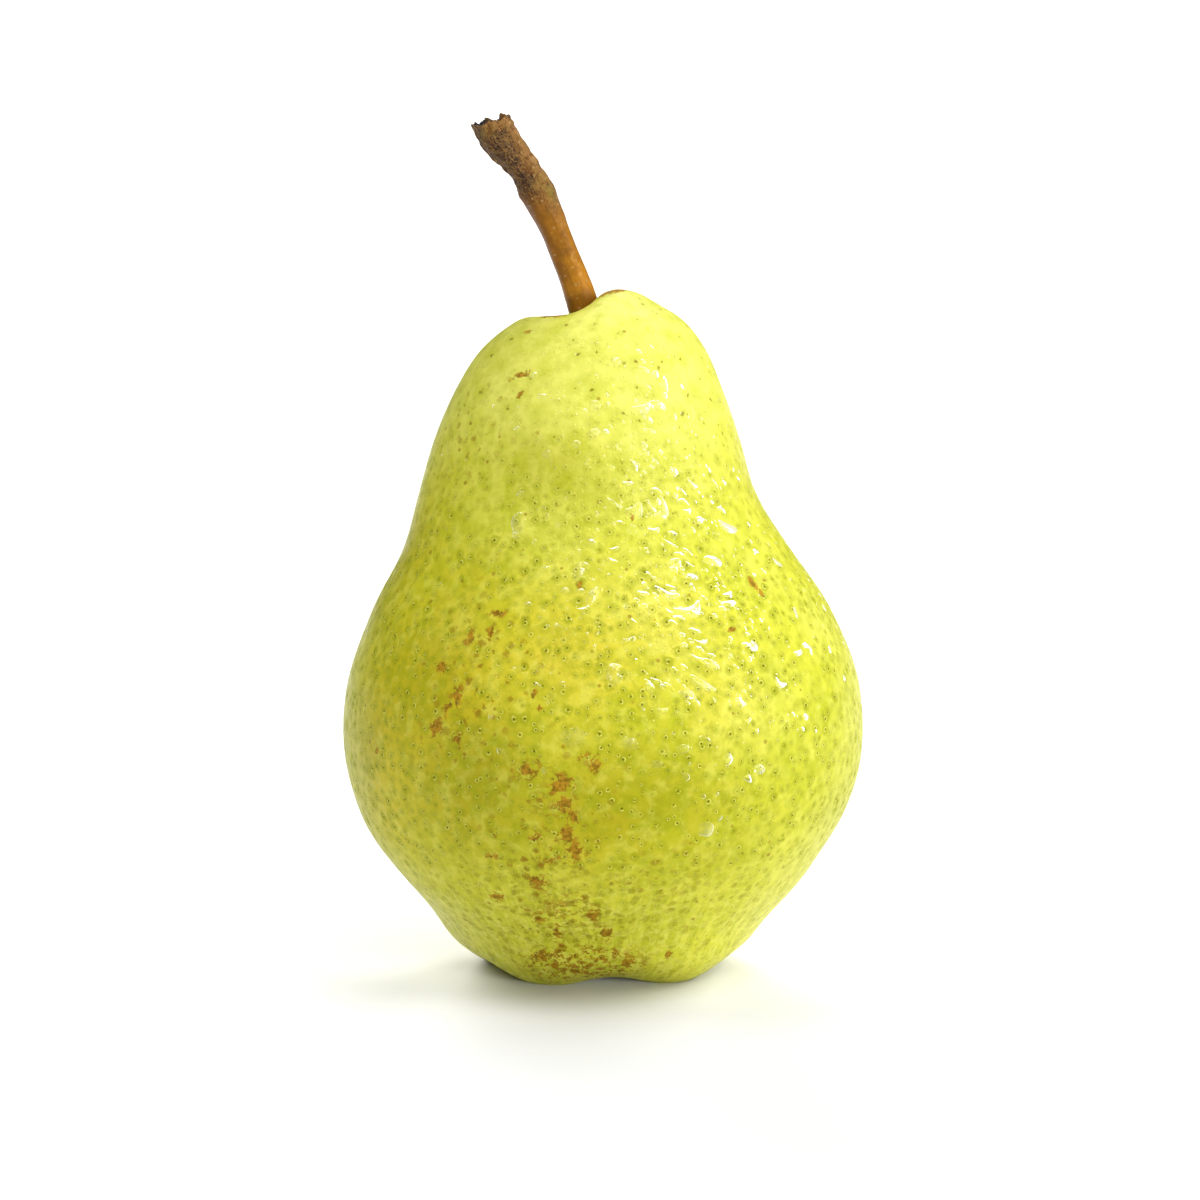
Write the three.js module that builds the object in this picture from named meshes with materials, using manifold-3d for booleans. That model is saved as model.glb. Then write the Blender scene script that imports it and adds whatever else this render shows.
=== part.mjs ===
// A fresh pear standing on its calyx end, as a three.js scene graph.
// Millimetres, +Z up. The origin is on the surface that the pear stands on, under the middle
// of the fruit. -Y is the front, where the fleshy lip rises on the right of the stem.
//
// Three pieces: the fruit, one grown body with its stem cavity and its five-lobed foot;
// the woody stem, sunk in a socket in the cavity; and the dried calyx, rooted in the basin
// underneath.
import * as THREE from "three";
import { mergeVertices } from "three/addons/utils/BufferGeometryUtils.js";
import Module from "manifold-3d";

const wasm = await Module();
wasm.setup();

const { smoothstep, degToRad, lerp } = THREE.MathUtils;

// ---- Driving dimensions, in millimetres and degrees ----

// The fruit's outline, ring by ring: radius, height, and how far the ring's middle sits
// to the right. It runs from the calyx basin underneath up to the stem cavity.
const OUTLINE = [
  [0.0, 5.2, 0.0],
  [5.0, 4.4, 0.0],
  [10.0, 1.4, 0.1],
  [14.9, -0.35, 0.1],
  [19.5, 2.7, 0.1],
  [23.3, 7.9, 0.0],
  [28.4, 14.2, 0.0],
  [32.7, 21.4, 0.0],
  [34.85, 30.0, 0.0],
  [34.3, 39.4, 0.0],
  [31.0, 48.3, -0.2],
  [26.3, 56.4, -0.9],
  [22.9, 64.2, -2.1],
  [20.7, 71.3, -2.1],
  [18.2, 77.8, -1.8],
  [15.2, 83.4, -1.3],
  [11.2, 87.2, -0.8],
  [7.6, 88.0, -1.6],
  [4.8, 87.0, -2.3],
  [2.6, 86.0, -2.7],
  [0.0, 86.0, -2.7],
];
const FRUIT_RINGS = 46;
const FRUIT_SEGMENTS = 70;

// The foot: five soft lobes round the basin. Their crests are cut flat where they stand.
const LOBES = 5;
const LOBE_ANGLE = -49.5;
const LOBE_SWELL = 0.4;
const LOBE_TOP = 22;
const LOBE_FULL = 4;
const FOOT_RING = 14.8;
const FOOT_WIDTH = 5;
const VALLEY_RISE = 0.7;

// The body is slightly out of round: an oval along the diagonal and a three-sided swell.
const OVAL_SHARE = 0.012;
const OVAL_ANGLE = 45;
const TRIANGLE_SHARE = 0.007;
const TRIANGLE_ANGLE = 90;

// The neck leans back, and the crown round the stem dips the same way.
const NECK_LEAN = 2.4;
const LEAN_FROM = 35;
const LEAN_TO = 90;
const CROWN_TILT = 6;
const CROWN_FROM = 70;
const CROWN_TO = 87;

// The fleshy lip beside the stem.
const LIP_HEIGHT = 5.2;
const LIP_X = 0.3;
const LIP_Y = -0.5;
const LIP_WIDTH_LEFT = 2.4;
const LIP_WIDTH_RIGHT = 4.8;
const LIP_DEPTH = 5;

// The stem's middle line and thickness, from its foot in the socket to its broken end:
// x, y, z, radius.
const STEM_LINE = [
  [-1.5, 2.3, 83.0, 2.1],
  [-2.0, 2.3, 86.2, 2.12],
  [-2.8, 2.2, 89.8, 2.1],
  [-4.0, 2.1, 93.4, 1.97],
  [-5.45, 2.0, 97.1, 1.88],
  [-6.85, 1.9, 100.6, 1.93],
  [-8.6, 1.7, 104.4, 2.27],
  [-10.2, 1.6, 107.4, 2.15],
  [-12.1, 1.5, 109.9, 2.25],
  [-13.75, 1.4, 112.0, 2.62],
  [-14.75, 1.4, 114.0, 2.65],
];
const STEM_STEPS = 34;
const STEM_SIDES = 24;
const STEM_RIDGES = 5;
const STEM_RIDGE_SHARE = 0.03;
const STEM_TIP_SLANT = 0.5;
const STEM_TIP_SLANT_ANGLE = 200;
const STEM_TIP_TEETH = 3;
const STEM_TIP_TOOTH = 0.3;
const STEM_TIP_HOLLOW = 1.0;
const STEM_TIP_SHARE = 0.06;

// The calyx: a plug rooted in the fruit, with a small eye pit open underneath, and five dried
// sepals spread over the basin. The plug's outline is radius, height.
const EYE_RADIUS = 2.1;
const EYE_TOP = 7.4;
const EYE_OUTLINE = [
  [0.0, 5.5],
  [1.2, 5.3],
  [1.5, 4.1],
  [EYE_RADIUS, 4.3],
  [1.9, EYE_TOP],
  [0.0, EYE_TOP],
];
const EYE_SEGMENTS = 24;
const SEPALS = 5;
const SEPAL_ANGLE = -85;
// A sepal's middle line and half width, from its root in the plug to its tip:
// distance from the axis, height, half width.
const SEPAL_LINE = [
  [1.5, 4.75, 0.75],
  [2.6, 3.75, 1.25],
  [4.3, 3.1, 1.1],
  [6.2, 2.6, 0.3],
];
const SEPAL_HALF_THICKNESS = 0.34;
const SEPAL_TIP_SHARE = 0.7;
const SEPAL_STEPS = 8;
const SEPAL_SIDES = 10;

// The gap that the stem and the calyx keep to the fruit round them.
const CLEARANCE = 0.3;
// How far the block that trims the foot reaches past the fruit.
const TRIM_MARGIN = 10;

// ---- Solids ----

// Merges a geometry's shared vertices and drops the faces that close up at a pole.
function solidOf(geometry) {
  geometry.deleteAttribute("normal");
  geometry.deleteAttribute("uv");
  const merged = mergeVertices(geometry);
  const corners = merged.index.array;
  const kept = [];
  for (let i = 0; i < corners.length; i += 3) {
    const [a, b, c] = corners.slice(i, i + 3);
    if (a !== b && b !== c && c !== a) kept.push(a, b, c);
  }
  return new wasm.Manifold(
    new wasm.Mesh({
      numProp: 3,
      vertProperties: merged.getAttribute("position").array,
      triVerts: new Uint32Array(kept),
    }),
  );
}

// A solid's vertices and triangles as a three.js geometry.
function geometryOf(solid) {
  const { vertProperties, triVerts } = solid.getMesh();
  const geometry = new THREE.BufferGeometry();
  geometry.setAttribute("position", new THREE.BufferAttribute(vertProperties, 3));
  geometry.setIndex(new THREE.BufferAttribute(triVerts, 1));
  geometry.computeVertexNormals();
  return geometry;
}

// A smooth curve through a list of points.
function curveThrough(points) {
  return new THREE.CatmullRomCurve3(points, false, "catmullrom", 0.5);
}

// A closed unit cylinder whose every vertex is moved by place(share, x, z): share runs from
// 0 at its foot to 1 at its top, and x and z are its place across.
function wrappedCylinder(sides, steps, place) {
  const geometry = new THREE.CylinderGeometry(1, 1, 1, sides, steps);
  const position = geometry.getAttribute("position");
  for (let i = 0; i < position.count; i++) {
    const share = position.getY(i) + 0.5;
    const point = place(share, position.getX(i), position.getZ(i));
    position.setXYZ(i, point.x, point.y, point.z);
  }
  return solidOf(geometry);
}

// ---- Fruit ----

// A point of the skin: the outline's ring, drawn round the axis at an angle, swelled into
// lobes at the foot and lifted between them, leaned back at the neck, tilted at the crown,
// and raised into the lip beside the stem.
function skinPoint([ringRadius, ringHeight, sideways], angle) {
  const lobe = Math.cos(LOBES * (angle - degToRad(LOBE_ANGLE)));
  const offAxis = Math.min(ringRadius / 9, 1);
  const lobed = offAxis * (1 - smoothstep(ringHeight, LOBE_FULL, LOBE_TOP));
  const oval = OVAL_SHARE * Math.cos(2 * (angle - degToRad(OVAL_ANGLE)));
  const triangle = TRIANGLE_SHARE * Math.cos(3 * (angle - degToRad(TRIANGLE_ANGLE)));
  const radius = ringRadius * (1 + oval + triangle) + LOBE_SWELL * lobed * lobe;

  const nearFoot = Math.exp(-(((ringRadius - FOOT_RING) / FOOT_WIDTH) ** 2));
  const valley = VALLEY_RISE * (1 - lobe) * nearFoot * lobed;
  const crown = smoothstep(ringHeight, CROWN_FROM, CROWN_TO);
  const x = sideways + radius * Math.cos(angle);
  const across = radius * Math.sin(angle);
  const lipWidth = x < LIP_X ? LIP_WIDTH_LEFT : LIP_WIDTH_RIGHT;
  const lipX = (x - LIP_X) / lipWidth;
  const lipY = (across - LIP_Y) / LIP_DEPTH;
  const lip = LIP_HEIGHT * Math.exp(-(lipX ** 2 + lipY ** 2) / 2);
  const tilt = across * Math.tan(degToRad(CROWN_TILT));

  return new THREE.Vector3(
    x,
    across + NECK_LEAN * smoothstep(ringHeight, LEAN_FROM, LEAN_TO),
    ringHeight + valley + crown * (lip - tilt),
  );
}

// The whole skin: a lathe of the outline, with each vertex moved to its skin point.
function fruitBody() {
  const outline = curveThrough(OUTLINE.map((ring) => new THREE.Vector3(...ring)));
  const rings = outline.getPoints(FRUIT_RINGS);
  const profile = rings.map((ring) => new THREE.Vector2(ring.x, ring.y));
  const lathe = new THREE.LatheGeometry(profile, FRUIT_SEGMENTS);
  const position = lathe.getAttribute("position");
  for (let i = 0; i < position.count; i++) {
    const turn = Math.floor(i / rings.length) / FRUIT_SEGMENTS;
    const point = skinPoint(rings[i % rings.length].toArray(), turn * 2 * Math.PI);
    position.setXYZ(i, point.x, point.y, point.z);
  }
  return solidOf(lathe);
}

// A block below the standing surface, which trims the lobes' crests flat.
function blockBelowSurface() {
  const reach = 2 * (Math.max(...OUTLINE.map(([radius]) => radius)) + TRIM_MARGIN);
  const block = new THREE.BoxGeometry(reach, reach, TRIM_MARGIN);
  block.translate(0, 0, -TRIM_MARGIN / 2);
  return solidOf(block);
}

// ---- Stem ----

// A closed cylinder wrapped round the stem's line, with soft ridges along it. Its broken end
// is hollow in the middle, slants and stands up in a few teeth. extra makes it that much
// thicker and longer at the foot.
function stemBody(extra) {
  const line = curveThrough(STEM_LINE.map(([x, y, z]) => new THREE.Vector3(x, y, z)));
  const girth = curveThrough(STEM_LINE.map(([, , , radius]) => new THREE.Vector3(radius, 0, 0)));
  const front = new THREE.Vector3(0, -1, 0);
  return wrappedCylinder(STEM_SIDES, STEM_STEPS, (share, across, forward) => {
    const middle = line.getPoint(share);
    const along = line.getTangent(share);
    const toFront = front.clone().addScaledVector(along, -front.dot(along)).normalize();
    const toRight = along.clone().cross(toFront);
    const angle = Math.atan2(forward, across);
    const ridge = 1 + STEM_RIDGE_SHARE * Math.cos(STEM_RIDGES * angle + 3 * share);
    const radius = girth.getPoint(share).x * ridge + extra;
    const rim = Math.hypot(across, forward);
    const slant = STEM_TIP_SLANT * Math.cos(angle - degToRad(STEM_TIP_SLANT_ANGLE));
    const tooth = STEM_TIP_TOOTH * Math.cos(STEM_TIP_TEETH * angle);
    const brokenEnd = rim * (slant + tooth) - (1 - rim) * STEM_TIP_HOLLOW;
    const shift = brokenEnd * smoothstep(share, 1 - STEM_TIP_SHARE, 1) - (share === 0 ? extra : 0);
    return middle
      .addScaledVector(toRight, across * radius)
      .addScaledVector(toFront, forward * radius)
      .addScaledVector(along, shift);
  });
}

// ---- Calyx ----

function eyePlug() {
  const outline = EYE_OUTLINE.map(([radius, height]) => new THREE.Vector2(radius, height));
  const lathe = new THREE.LatheGeometry(outline, EYE_SEGMENTS);
  lathe.rotateX(Math.PI / 2);
  return solidOf(lathe);
}

// The hole that the plug sits in, from below the basin to just above the plug.
function eyeHole() {
  const radius = EYE_RADIUS + CLEARANCE;
  const height = EYE_TOP + CLEARANCE;
  const hole = new THREE.CylinderGeometry(radius, radius, height, EYE_SEGMENTS);
  hole.rotateX(Math.PI / 2);
  hole.translate(0, 0, height / 2);
  return solidOf(hole);
}

// One sepal: a flat closed blade along its middle line, turned round the axis.
function sepal(turn) {
  const line = curveThrough(SEPAL_LINE.map(([out, z]) => new THREE.Vector3(out, 0, z)));
  const width = curveThrough(SEPAL_LINE.map(([, , half]) => new THREE.Vector3(half, 0, 0)));
  const side = new THREE.Vector3(0, 1, 0);
  const axis = new THREE.Vector3(0, 0, 1);
  return wrappedCylinder(SEPAL_SIDES, SEPAL_STEPS, (share, across, downward) => {
    const down = line.getTangent(share).cross(side);
    const thickness = SEPAL_HALF_THICKNESS * lerp(1, SEPAL_TIP_SHARE, share);
    return line
      .getPoint(share)
      .addScaledVector(side, -across * width.getPoint(share).x)
      .addScaledVector(down, downward * thickness)
      .applyAxisAngle(axis, turn);
  });
}

function calyxBody() {
  let body = eyePlug();
  for (let i = 0; i < SEPALS; i++) {
    body = body.add(sepal(degToRad(SEPAL_ANGLE) + (i * 2 * Math.PI) / SEPALS));
  }
  return body;
}

// ---- Pieces ----

function piece(name, solid, look) {
  const mesh = new THREE.Mesh(geometryOf(solid), new THREE.MeshStandardMaterial(look));
  mesh.name = name;
  return mesh;
}

const fruit = fruitBody()
  .subtract(blockBelowSurface())
  .subtract(stemBody(CLEARANCE))
  .subtract(eyeHole());

const group = new THREE.Group();
group.add(piece("fruit", fruit, { color: 0xc9c94a, roughness: 0.42, metalness: 0 }));
group.add(piece("stem", stemBody(0), { color: 0x8f6230, roughness: 0.7, metalness: 0 }));
group.add(piece("calyx", calyxBody(), { color: 0x3d2a1a, roughness: 0.85, metalness: 0 }));

export default group;
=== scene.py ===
import math
import bpy
import numpy as np
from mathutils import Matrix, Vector


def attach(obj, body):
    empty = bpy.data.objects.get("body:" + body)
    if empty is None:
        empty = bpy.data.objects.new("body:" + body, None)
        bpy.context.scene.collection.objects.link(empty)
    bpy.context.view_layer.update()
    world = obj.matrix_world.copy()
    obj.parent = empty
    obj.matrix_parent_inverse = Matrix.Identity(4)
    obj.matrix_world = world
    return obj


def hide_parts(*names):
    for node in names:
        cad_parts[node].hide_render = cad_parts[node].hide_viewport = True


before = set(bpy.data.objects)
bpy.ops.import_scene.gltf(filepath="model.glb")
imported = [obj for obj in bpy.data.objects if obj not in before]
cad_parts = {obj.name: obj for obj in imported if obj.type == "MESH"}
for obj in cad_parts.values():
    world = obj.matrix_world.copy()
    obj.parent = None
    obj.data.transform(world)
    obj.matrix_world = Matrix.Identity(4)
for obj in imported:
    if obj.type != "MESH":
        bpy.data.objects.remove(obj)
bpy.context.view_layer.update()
mm = 0.001                      # shapes are worked out in millimetres, meshes are in metres
fullTurn = 2 * math.pi


# S-shaped rise from 0 at low to 1 at high: 3s^2 - 2s^3 of the share s of the way.
def smooth(low, high, value):
    share = np.clip((value - low) / (high - low), 0, 1)
    return share * share * (3 - 2 * share)


# Point on a smooth curve: the cubic between two neighbours in the list whose slopes are half
# the step between the points on either side, with both ends of the list carried on straight.
def alongCurve(points, share):
    points = np.array(points, float)
    points = np.vstack([2 * points[0] - points[1], points, 2 * points[-1] - points[-2]])
    place = np.clip(share, 0, 1) * (len(points) - 3)
    first = np.minimum(place.astype(int), len(points) - 4)
    step = (place - first)[..., None]
    before, start, end, after = (points[first + i] for i in range(4))
    slopeIn, slopeOut = (end - before) / 2, (after - start) / 2
    cubic = 2 * start - 2 * end + slopeIn + slopeOut
    square = 3 * end - 3 * start - 2 * slopeIn - slopeOut
    return ((cubic * step + square) * step + slopeIn) * step + start


# Even, seeded waviness between about -1 and 1: sine waves of one length summed over random
# directions.
def ripples(points, length, seed, waves=14):
    rng = np.random.default_rng(seed)
    ways = rng.normal(size=(waves, 3))
    ways /= np.linalg.norm(ways, axis=1, keepdims=True)
    phases = rng.uniform(0, fullTurn, waves)
    return np.sin(points @ ways.T * (fullTurn / length) + phases).sum(-1) / math.sqrt(waves)


# Vectors scaled to length one.
def unit(vectors):
    return vectors / np.maximum(np.linalg.norm(vectors, axis=-1, keepdims=True), 1e-9)


# What a user would change of the fruit's shape.
fruit = {
    # ring by ring from the calyx basin to the stem cavity: radius, height, shift to the right
    "outline": [
        [0.0, 5.2, 0.0], [5.0, 4.4, 0.0], [10.0, 1.4, 0.1], [14.9, -0.35, 0.1], [19.5, 2.7, 0.1],
        [23.3, 7.9, 0.0], [28.4, 14.2, 0.0], [32.7, 21.4, 0.0], [34.85, 30.0, 0.0], [34.3, 39.4, 0.0],
        [31.0, 48.3, -0.2], [26.3, 56.4, -0.9], [22.9, 64.2, -2.1], [20.7, 71.3, -2.1],
        [18.2, 77.8, -1.8], [15.2, 83.4, -1.3], [11.2, 87.2, -0.8], [7.6, 88.0, -1.6],
        [4.8, 87.0, -2.3], [2.6, 86.0, -2.7], [0.0, 86.0, -2.7],
    ],
    "lobes": 5, "lobeAngle": -49.5, "lobeSwell": 0.4, "lobeTop": 22, "lobeFull": 4,
    "footRing": 14.8, "footWidth": 5, "valleyRise": 0.7,
    "oval": 0.012, "ovalAngle": 45, "threeSided": 0.007, "threeSidedAngle": 90,
    "lean": 2.4, "leanFrom": 35, "leanTo": 90,
    "crownTilt": 6, "crownFrom": 70, "crownTo": 87,
    "lipHeight": 5.2, "lipX": 0.3, "lipY": -0.5, "lipLeft": 2.4, "lipRight": 4.8, "lipDepth": 5,
    "dents": 0.16, "dentLength": 17,        # soft unevenness of the skin: height and wavelength
    "rings": 214, "columns": 440,
    "seed": 11,
}


# The skin: the outline's ring turned round the axis, swelled into lobes at the foot and lifted
# between them, leaned back at the neck, tilted at the crown and raised into the lip beside the
# stem; then dented softly, and cut flat where it stands.
def skinAt(share, angle):
    shape = fruit
    share, angle = np.broadcast_arrays(share, angle)
    ring = alongCurve(shape["outline"], share)
    ringRadius, height, shift = ring[..., 0], ring[..., 1], ring[..., 2]
    lobe = np.cos(shape["lobes"] * (angle - math.radians(shape["lobeAngle"])))
    lobed = np.minimum(ringRadius / 9, 1) * (1 - smooth(shape["lobeFull"], shape["lobeTop"], height))
    oval = shape["oval"] * np.cos(2 * (angle - math.radians(shape["ovalAngle"])))
    threeSided = shape["threeSided"] * np.cos(3 * (angle - math.radians(shape["threeSidedAngle"])))
    radius = ringRadius * (1 + oval + threeSided) + shape["lobeSwell"] * lobed * lobe

    nearFoot = np.exp(-((ringRadius - shape["footRing"]) / shape["footWidth"]) ** 2)
    valley = shape["valleyRise"] * (1 - lobe) * nearFoot * lobed
    crown = smooth(shape["crownFrom"], shape["crownTo"], height)
    x = shift + radius * np.cos(angle)
    across = radius * np.sin(angle)
    lipX = (x - shape["lipX"]) / np.where(x < shape["lipX"], shape["lipLeft"], shape["lipRight"])
    lipY = (across - shape["lipY"]) / shape["lipDepth"]
    lip = shape["lipHeight"] * np.exp(-(lipX ** 2 + lipY ** 2) / 2)
    tilt = across * math.tan(math.radians(shape["crownTilt"]))
    y = across + shape["lean"] * smooth(shape["leanFrom"], shape["leanTo"], height)
    z = height + valley + crown * (lip - tilt)
    points = np.stack([x, y, z], -1)

    outward = unit(np.stack([np.cos(angle), np.sin(angle), np.zeros_like(angle)], -1))
    amount = shape["dents"] * smooth(3, 16, ringRadius) * smooth(1, 8, height)
    dent = ripples(points, shape["dentLength"], shape["seed"]) * amount
    points = points + outward * dent[..., None]
    points[..., 2] = np.maximum(points[..., 2], 0)
    return points


# The skin's point, its directions round and up the fruit, and its outward normal, from the
# differences over small steps.
def skinFrame(share, angle):
    step = 1e-3
    point = skinAt(share, angle)
    around = skinAt(share, angle + step) - skinAt(share, angle - step)
    upward = skinAt(share + step, angle) - skinAt(share - step, angle)
    normal = unit(np.cross(around, upward))
    return point, around / (2 * step), upward / (2 * step), normal


# Shares and angles of the skin's grid, and its points; columns start at the back.
gridShares = np.linspace(0, 1, fruit["rings"])
gridAngles = math.pi / 2 + np.arange(fruit["columns"]) * fullTurn / fruit["columns"]
gridPoints = skinAt(gridShares[:, None], gridAngles[None, :])


# Share and angle of places given as seen from the front: the nearest grid point in x and z
# among those on the front half.
def frontPlaces(places):
    rows, columns = np.nonzero(gridPoints[..., 1] < 1.5)     # a little past the outline
    points = gridPoints[rows, columns]
    spots = np.array(places, float)[:, :2]
    gaps = ((points[None, :, [0, 2]] - spots[:, None, :]) ** 2).sum(-1)
    gaps = gaps + 1e-3 * points[None, :, 1]                  # of two as near, the front one
    nearest = gaps.argmin(1)
    return gridShares[rows[nearest]], gridAngles[columns[nearest]]


# Random places, even over the area where weight(points) allows: grid points drawn with a chance
# in proportion to the area round them, then jittered inside their cell.
def scatterPlaces(count, seed, weight):
    rng = np.random.default_rng(seed)
    around = np.roll(gridPoints, -1, 1) - gridPoints
    upward = np.gradient(gridPoints, axis=0)
    area = np.linalg.norm(np.cross(around, upward), axis=-1) * weight(gridPoints)
    picks = rng.choice(area.size, size=count, p=(area / area.sum()).ravel())
    rows, columns = np.unravel_index(picks, area.shape)
    shares = gridShares[rows] + rng.uniform(-0.5, 0.5, count) * (gridShares[1] - gridShares[0])
    angles = gridAngles[columns] + rng.uniform(-0.5, 0.5, count) * (fullTurn / fruit["columns"])
    return np.clip(shares, 0.01, 0.99), angles


# How strongly soft elliptical spots cover each point: the largest of strength * exp(-q^2),
# where q is the distance in spot radii along the spot's own two directions on the skin.
def spotCover(points, shares, angles, spots):
    centre, around, upward, normal = skinFrame(shares, angles)
    right, up = unit(around), unit(np.cross(normal, unit(around)))
    cover = np.zeros(points.shape[:-1])
    for i, (halfWidth, halfHeight, turn, strength) in enumerate(spots):
        cosine, sine = math.cos(math.radians(turn)), math.sin(math.radians(turn))
        gap = points - centre[i]
        along = (gap @ right[i]) * cosine + (gap @ up[i]) * sine
        across = (gap @ up[i]) * cosine - (gap @ right[i]) * sine
        depth = gap @ normal[i]
        q = (along / halfWidth) ** 2 + (across / halfHeight) ** 2
        q = q + (depth / (halfWidth + halfHeight)) ** 2
        cover = np.maximum(cover, strength * np.exp(-q))
    return cover


# One mesh from closed grids of points, each rows x columns. Every grid closes round its
# columns, and its first and last rows are drawn together to a single point each.
def closedMesh(name, grids):
    points, quads, ends, start = [], [], [], 0
    for grid in grids:
        rows, columns = grid.shape[:2]
        body = grid[1:-1].reshape(-1, 3)
        poles = np.array([grid[0].mean(0), grid[-1].mean(0)])
        points.append(np.vstack([body, poles]))
        row = np.arange(rows - 3)[:, None] * columns + start
        here = np.arange(columns)[None, :]
        beside = (here + 1) % columns
        corners = [row + here, row + beside, row + columns + beside, row + columns + here]
        quads.append(np.stack(corners, -1).reshape(-1, 4))
        low, high = start + len(body), start + len(body) + 1
        last = start + (rows - 3) * columns
        ends.append(np.stack([np.full(columns, low), start + beside[0], start + here[0]], -1))
        ends.append(np.stack([np.full(columns, high), last + here[0], last + beside[0]], -1))
        start += len(body) + 2
    allPoints = np.vstack(points)
    faces = np.vstack(quads).tolist() + np.vstack(ends).tolist()
    mesh = bpy.data.meshes.new(name)
    mesh.from_pydata((allPoints * mm).tolist(), [], faces)
    mesh.validate()
    mesh.shade_smooth()
    piece = bpy.data.objects.new(name, mesh)
    bpy.context.scene.collection.objects.link(piece)
    return piece


# The order of points that closedMesh gives one grid's values: its inner rows, then both ends.
def inMeshOrder(values):
    inner = values[1:-1].reshape(-1, *values.shape[2:])
    return np.concatenate([inner, values[:1, 0], values[-1:, 0]])


# One value or one vector for each point of a piece, for its material to read.
def storeAttribute(piece, name, values):
    kind, slot = ("FLOAT_VECTOR", "vector") if values.ndim == 2 else ("FLOAT", "value")
    attribute = piece.data.attributes.new(name, kind, "POINT")
    attribute.data.foreach_set(slot, values.astype(np.float32).ravel())


# Adds a node. Each socket is given another node's output or a plain value.
def put(tree, kind, sockets=None, **settings):
    node = tree.nodes.new("ShaderNode" + kind)
    for key, value in settings.items():
        setattr(node, key, value)
    for key, value in (sockets or {}).items():
        if isinstance(value, bpy.types.NodeSocket):
            tree.links.new(value, node.inputs[key])
        elif isinstance(value, tuple) and len(value) == 3 and node.inputs[key].type == "RGBA":
            node.inputs[key].default_value = (*value, 1)
        else:
            node.inputs[key].default_value = value
    return node


# A Math node on up to three values.
def calc(tree, operation, *values):
    return put(tree, "Math", dict(enumerate(values)), operation=operation).outputs[0]


# A Vector Math node on up to two vectors, with the title of the output wanted.
def vector(tree, operation, first, second=None, output="Vector"):
    sockets = {0: first} if second is None else {0: first, 1: second}
    return put(tree, "VectorMath", sockets, operation=operation).outputs[output]


# A vector times a plain number.
def stretch(tree, place, factor):
    return put(tree, "VectorMath", {0: place, "Scale": factor}, operation="SCALE").outputs[0]


# Noise features of a size given as how many there are in a millimetre.
def noiseOf(tree, place, scale, detail, roughness=0.5):
    sockets = {"Vector": place, "Scale": scale, "Detail": detail, "Roughness": roughness}
    return put(tree, "TexNoise", sockets).outputs


# S-shaped rise from 0 at low to 1 at high, or a fall where low is the larger.
def fade(tree, value, low, high):
    sockets = {"Value": value, "From Min": low, "From Max": high}
    return put(tree, "MapRange", sockets, interpolation_type="SMOOTHSTEP").outputs[0]


# From the first colour to the second by a share from 0 to 1.
def mixColor(tree, share, first, second):
    return put(tree, "Mix", {0: share, 6: first, 7: second}, data_type="RGBA").outputs[2]


# A value that the mesh carries for each of its points.
def readAttribute(tree, name, output="Fac"):
    return put(tree, "Attribute", attribute_name=name).outputs[output]


# Object coordinates in millimetres.
def readPlace(tree):
    return stretch(tree, put(tree, "TexCoord").outputs["Object"], 1 / mm)


# An empty node group. An input given as None is a vector, every other one a number.
def newGroup(name, inputs, outputs):
    tree = bpy.data.node_groups.new(name, "ShaderNodeTree")
    for title, value in inputs.items():
        kind = "NodeSocketVector" if value is None else "NodeSocketFloat"
        socket = tree.interface.new_socket(title, in_out="INPUT", socket_type=kind)
        if value is not None:
            socket.default_value = value
    for title in outputs:
        tree.interface.new_socket(title, in_out="OUTPUT", socket_type="NodeSocketFloat")
    entry, leave = tree.nodes.new("NodeGroupInput"), tree.nodes.new("NodeGroupOutput")
    return tree, entry.outputs, leave.inputs


# Places a group with its own values and gives its outputs.
def useGroup(tree, group, sockets):
    return put(tree, "Group", sockets, node_tree=group).outputs


# Patches: noise of a given size, cut between two levels.
def makeMottle():
    tree, given, result = newGroup(
        "mottle", {"Place": None, "Size": 5.0, "Low": 0.4, "High": 0.6, "Detail": 3.0}, ["Mask"])
    scale = calc(tree, "DIVIDE", 1.0, given["Size"])
    noise = noiseOf(tree, given["Place"], scale, given["Detail"], 0.55)["Fac"]
    mask = fade(tree, noise, given["Low"], given["High"])
    tree.links.new(mask, result["Mask"])
    return tree


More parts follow.
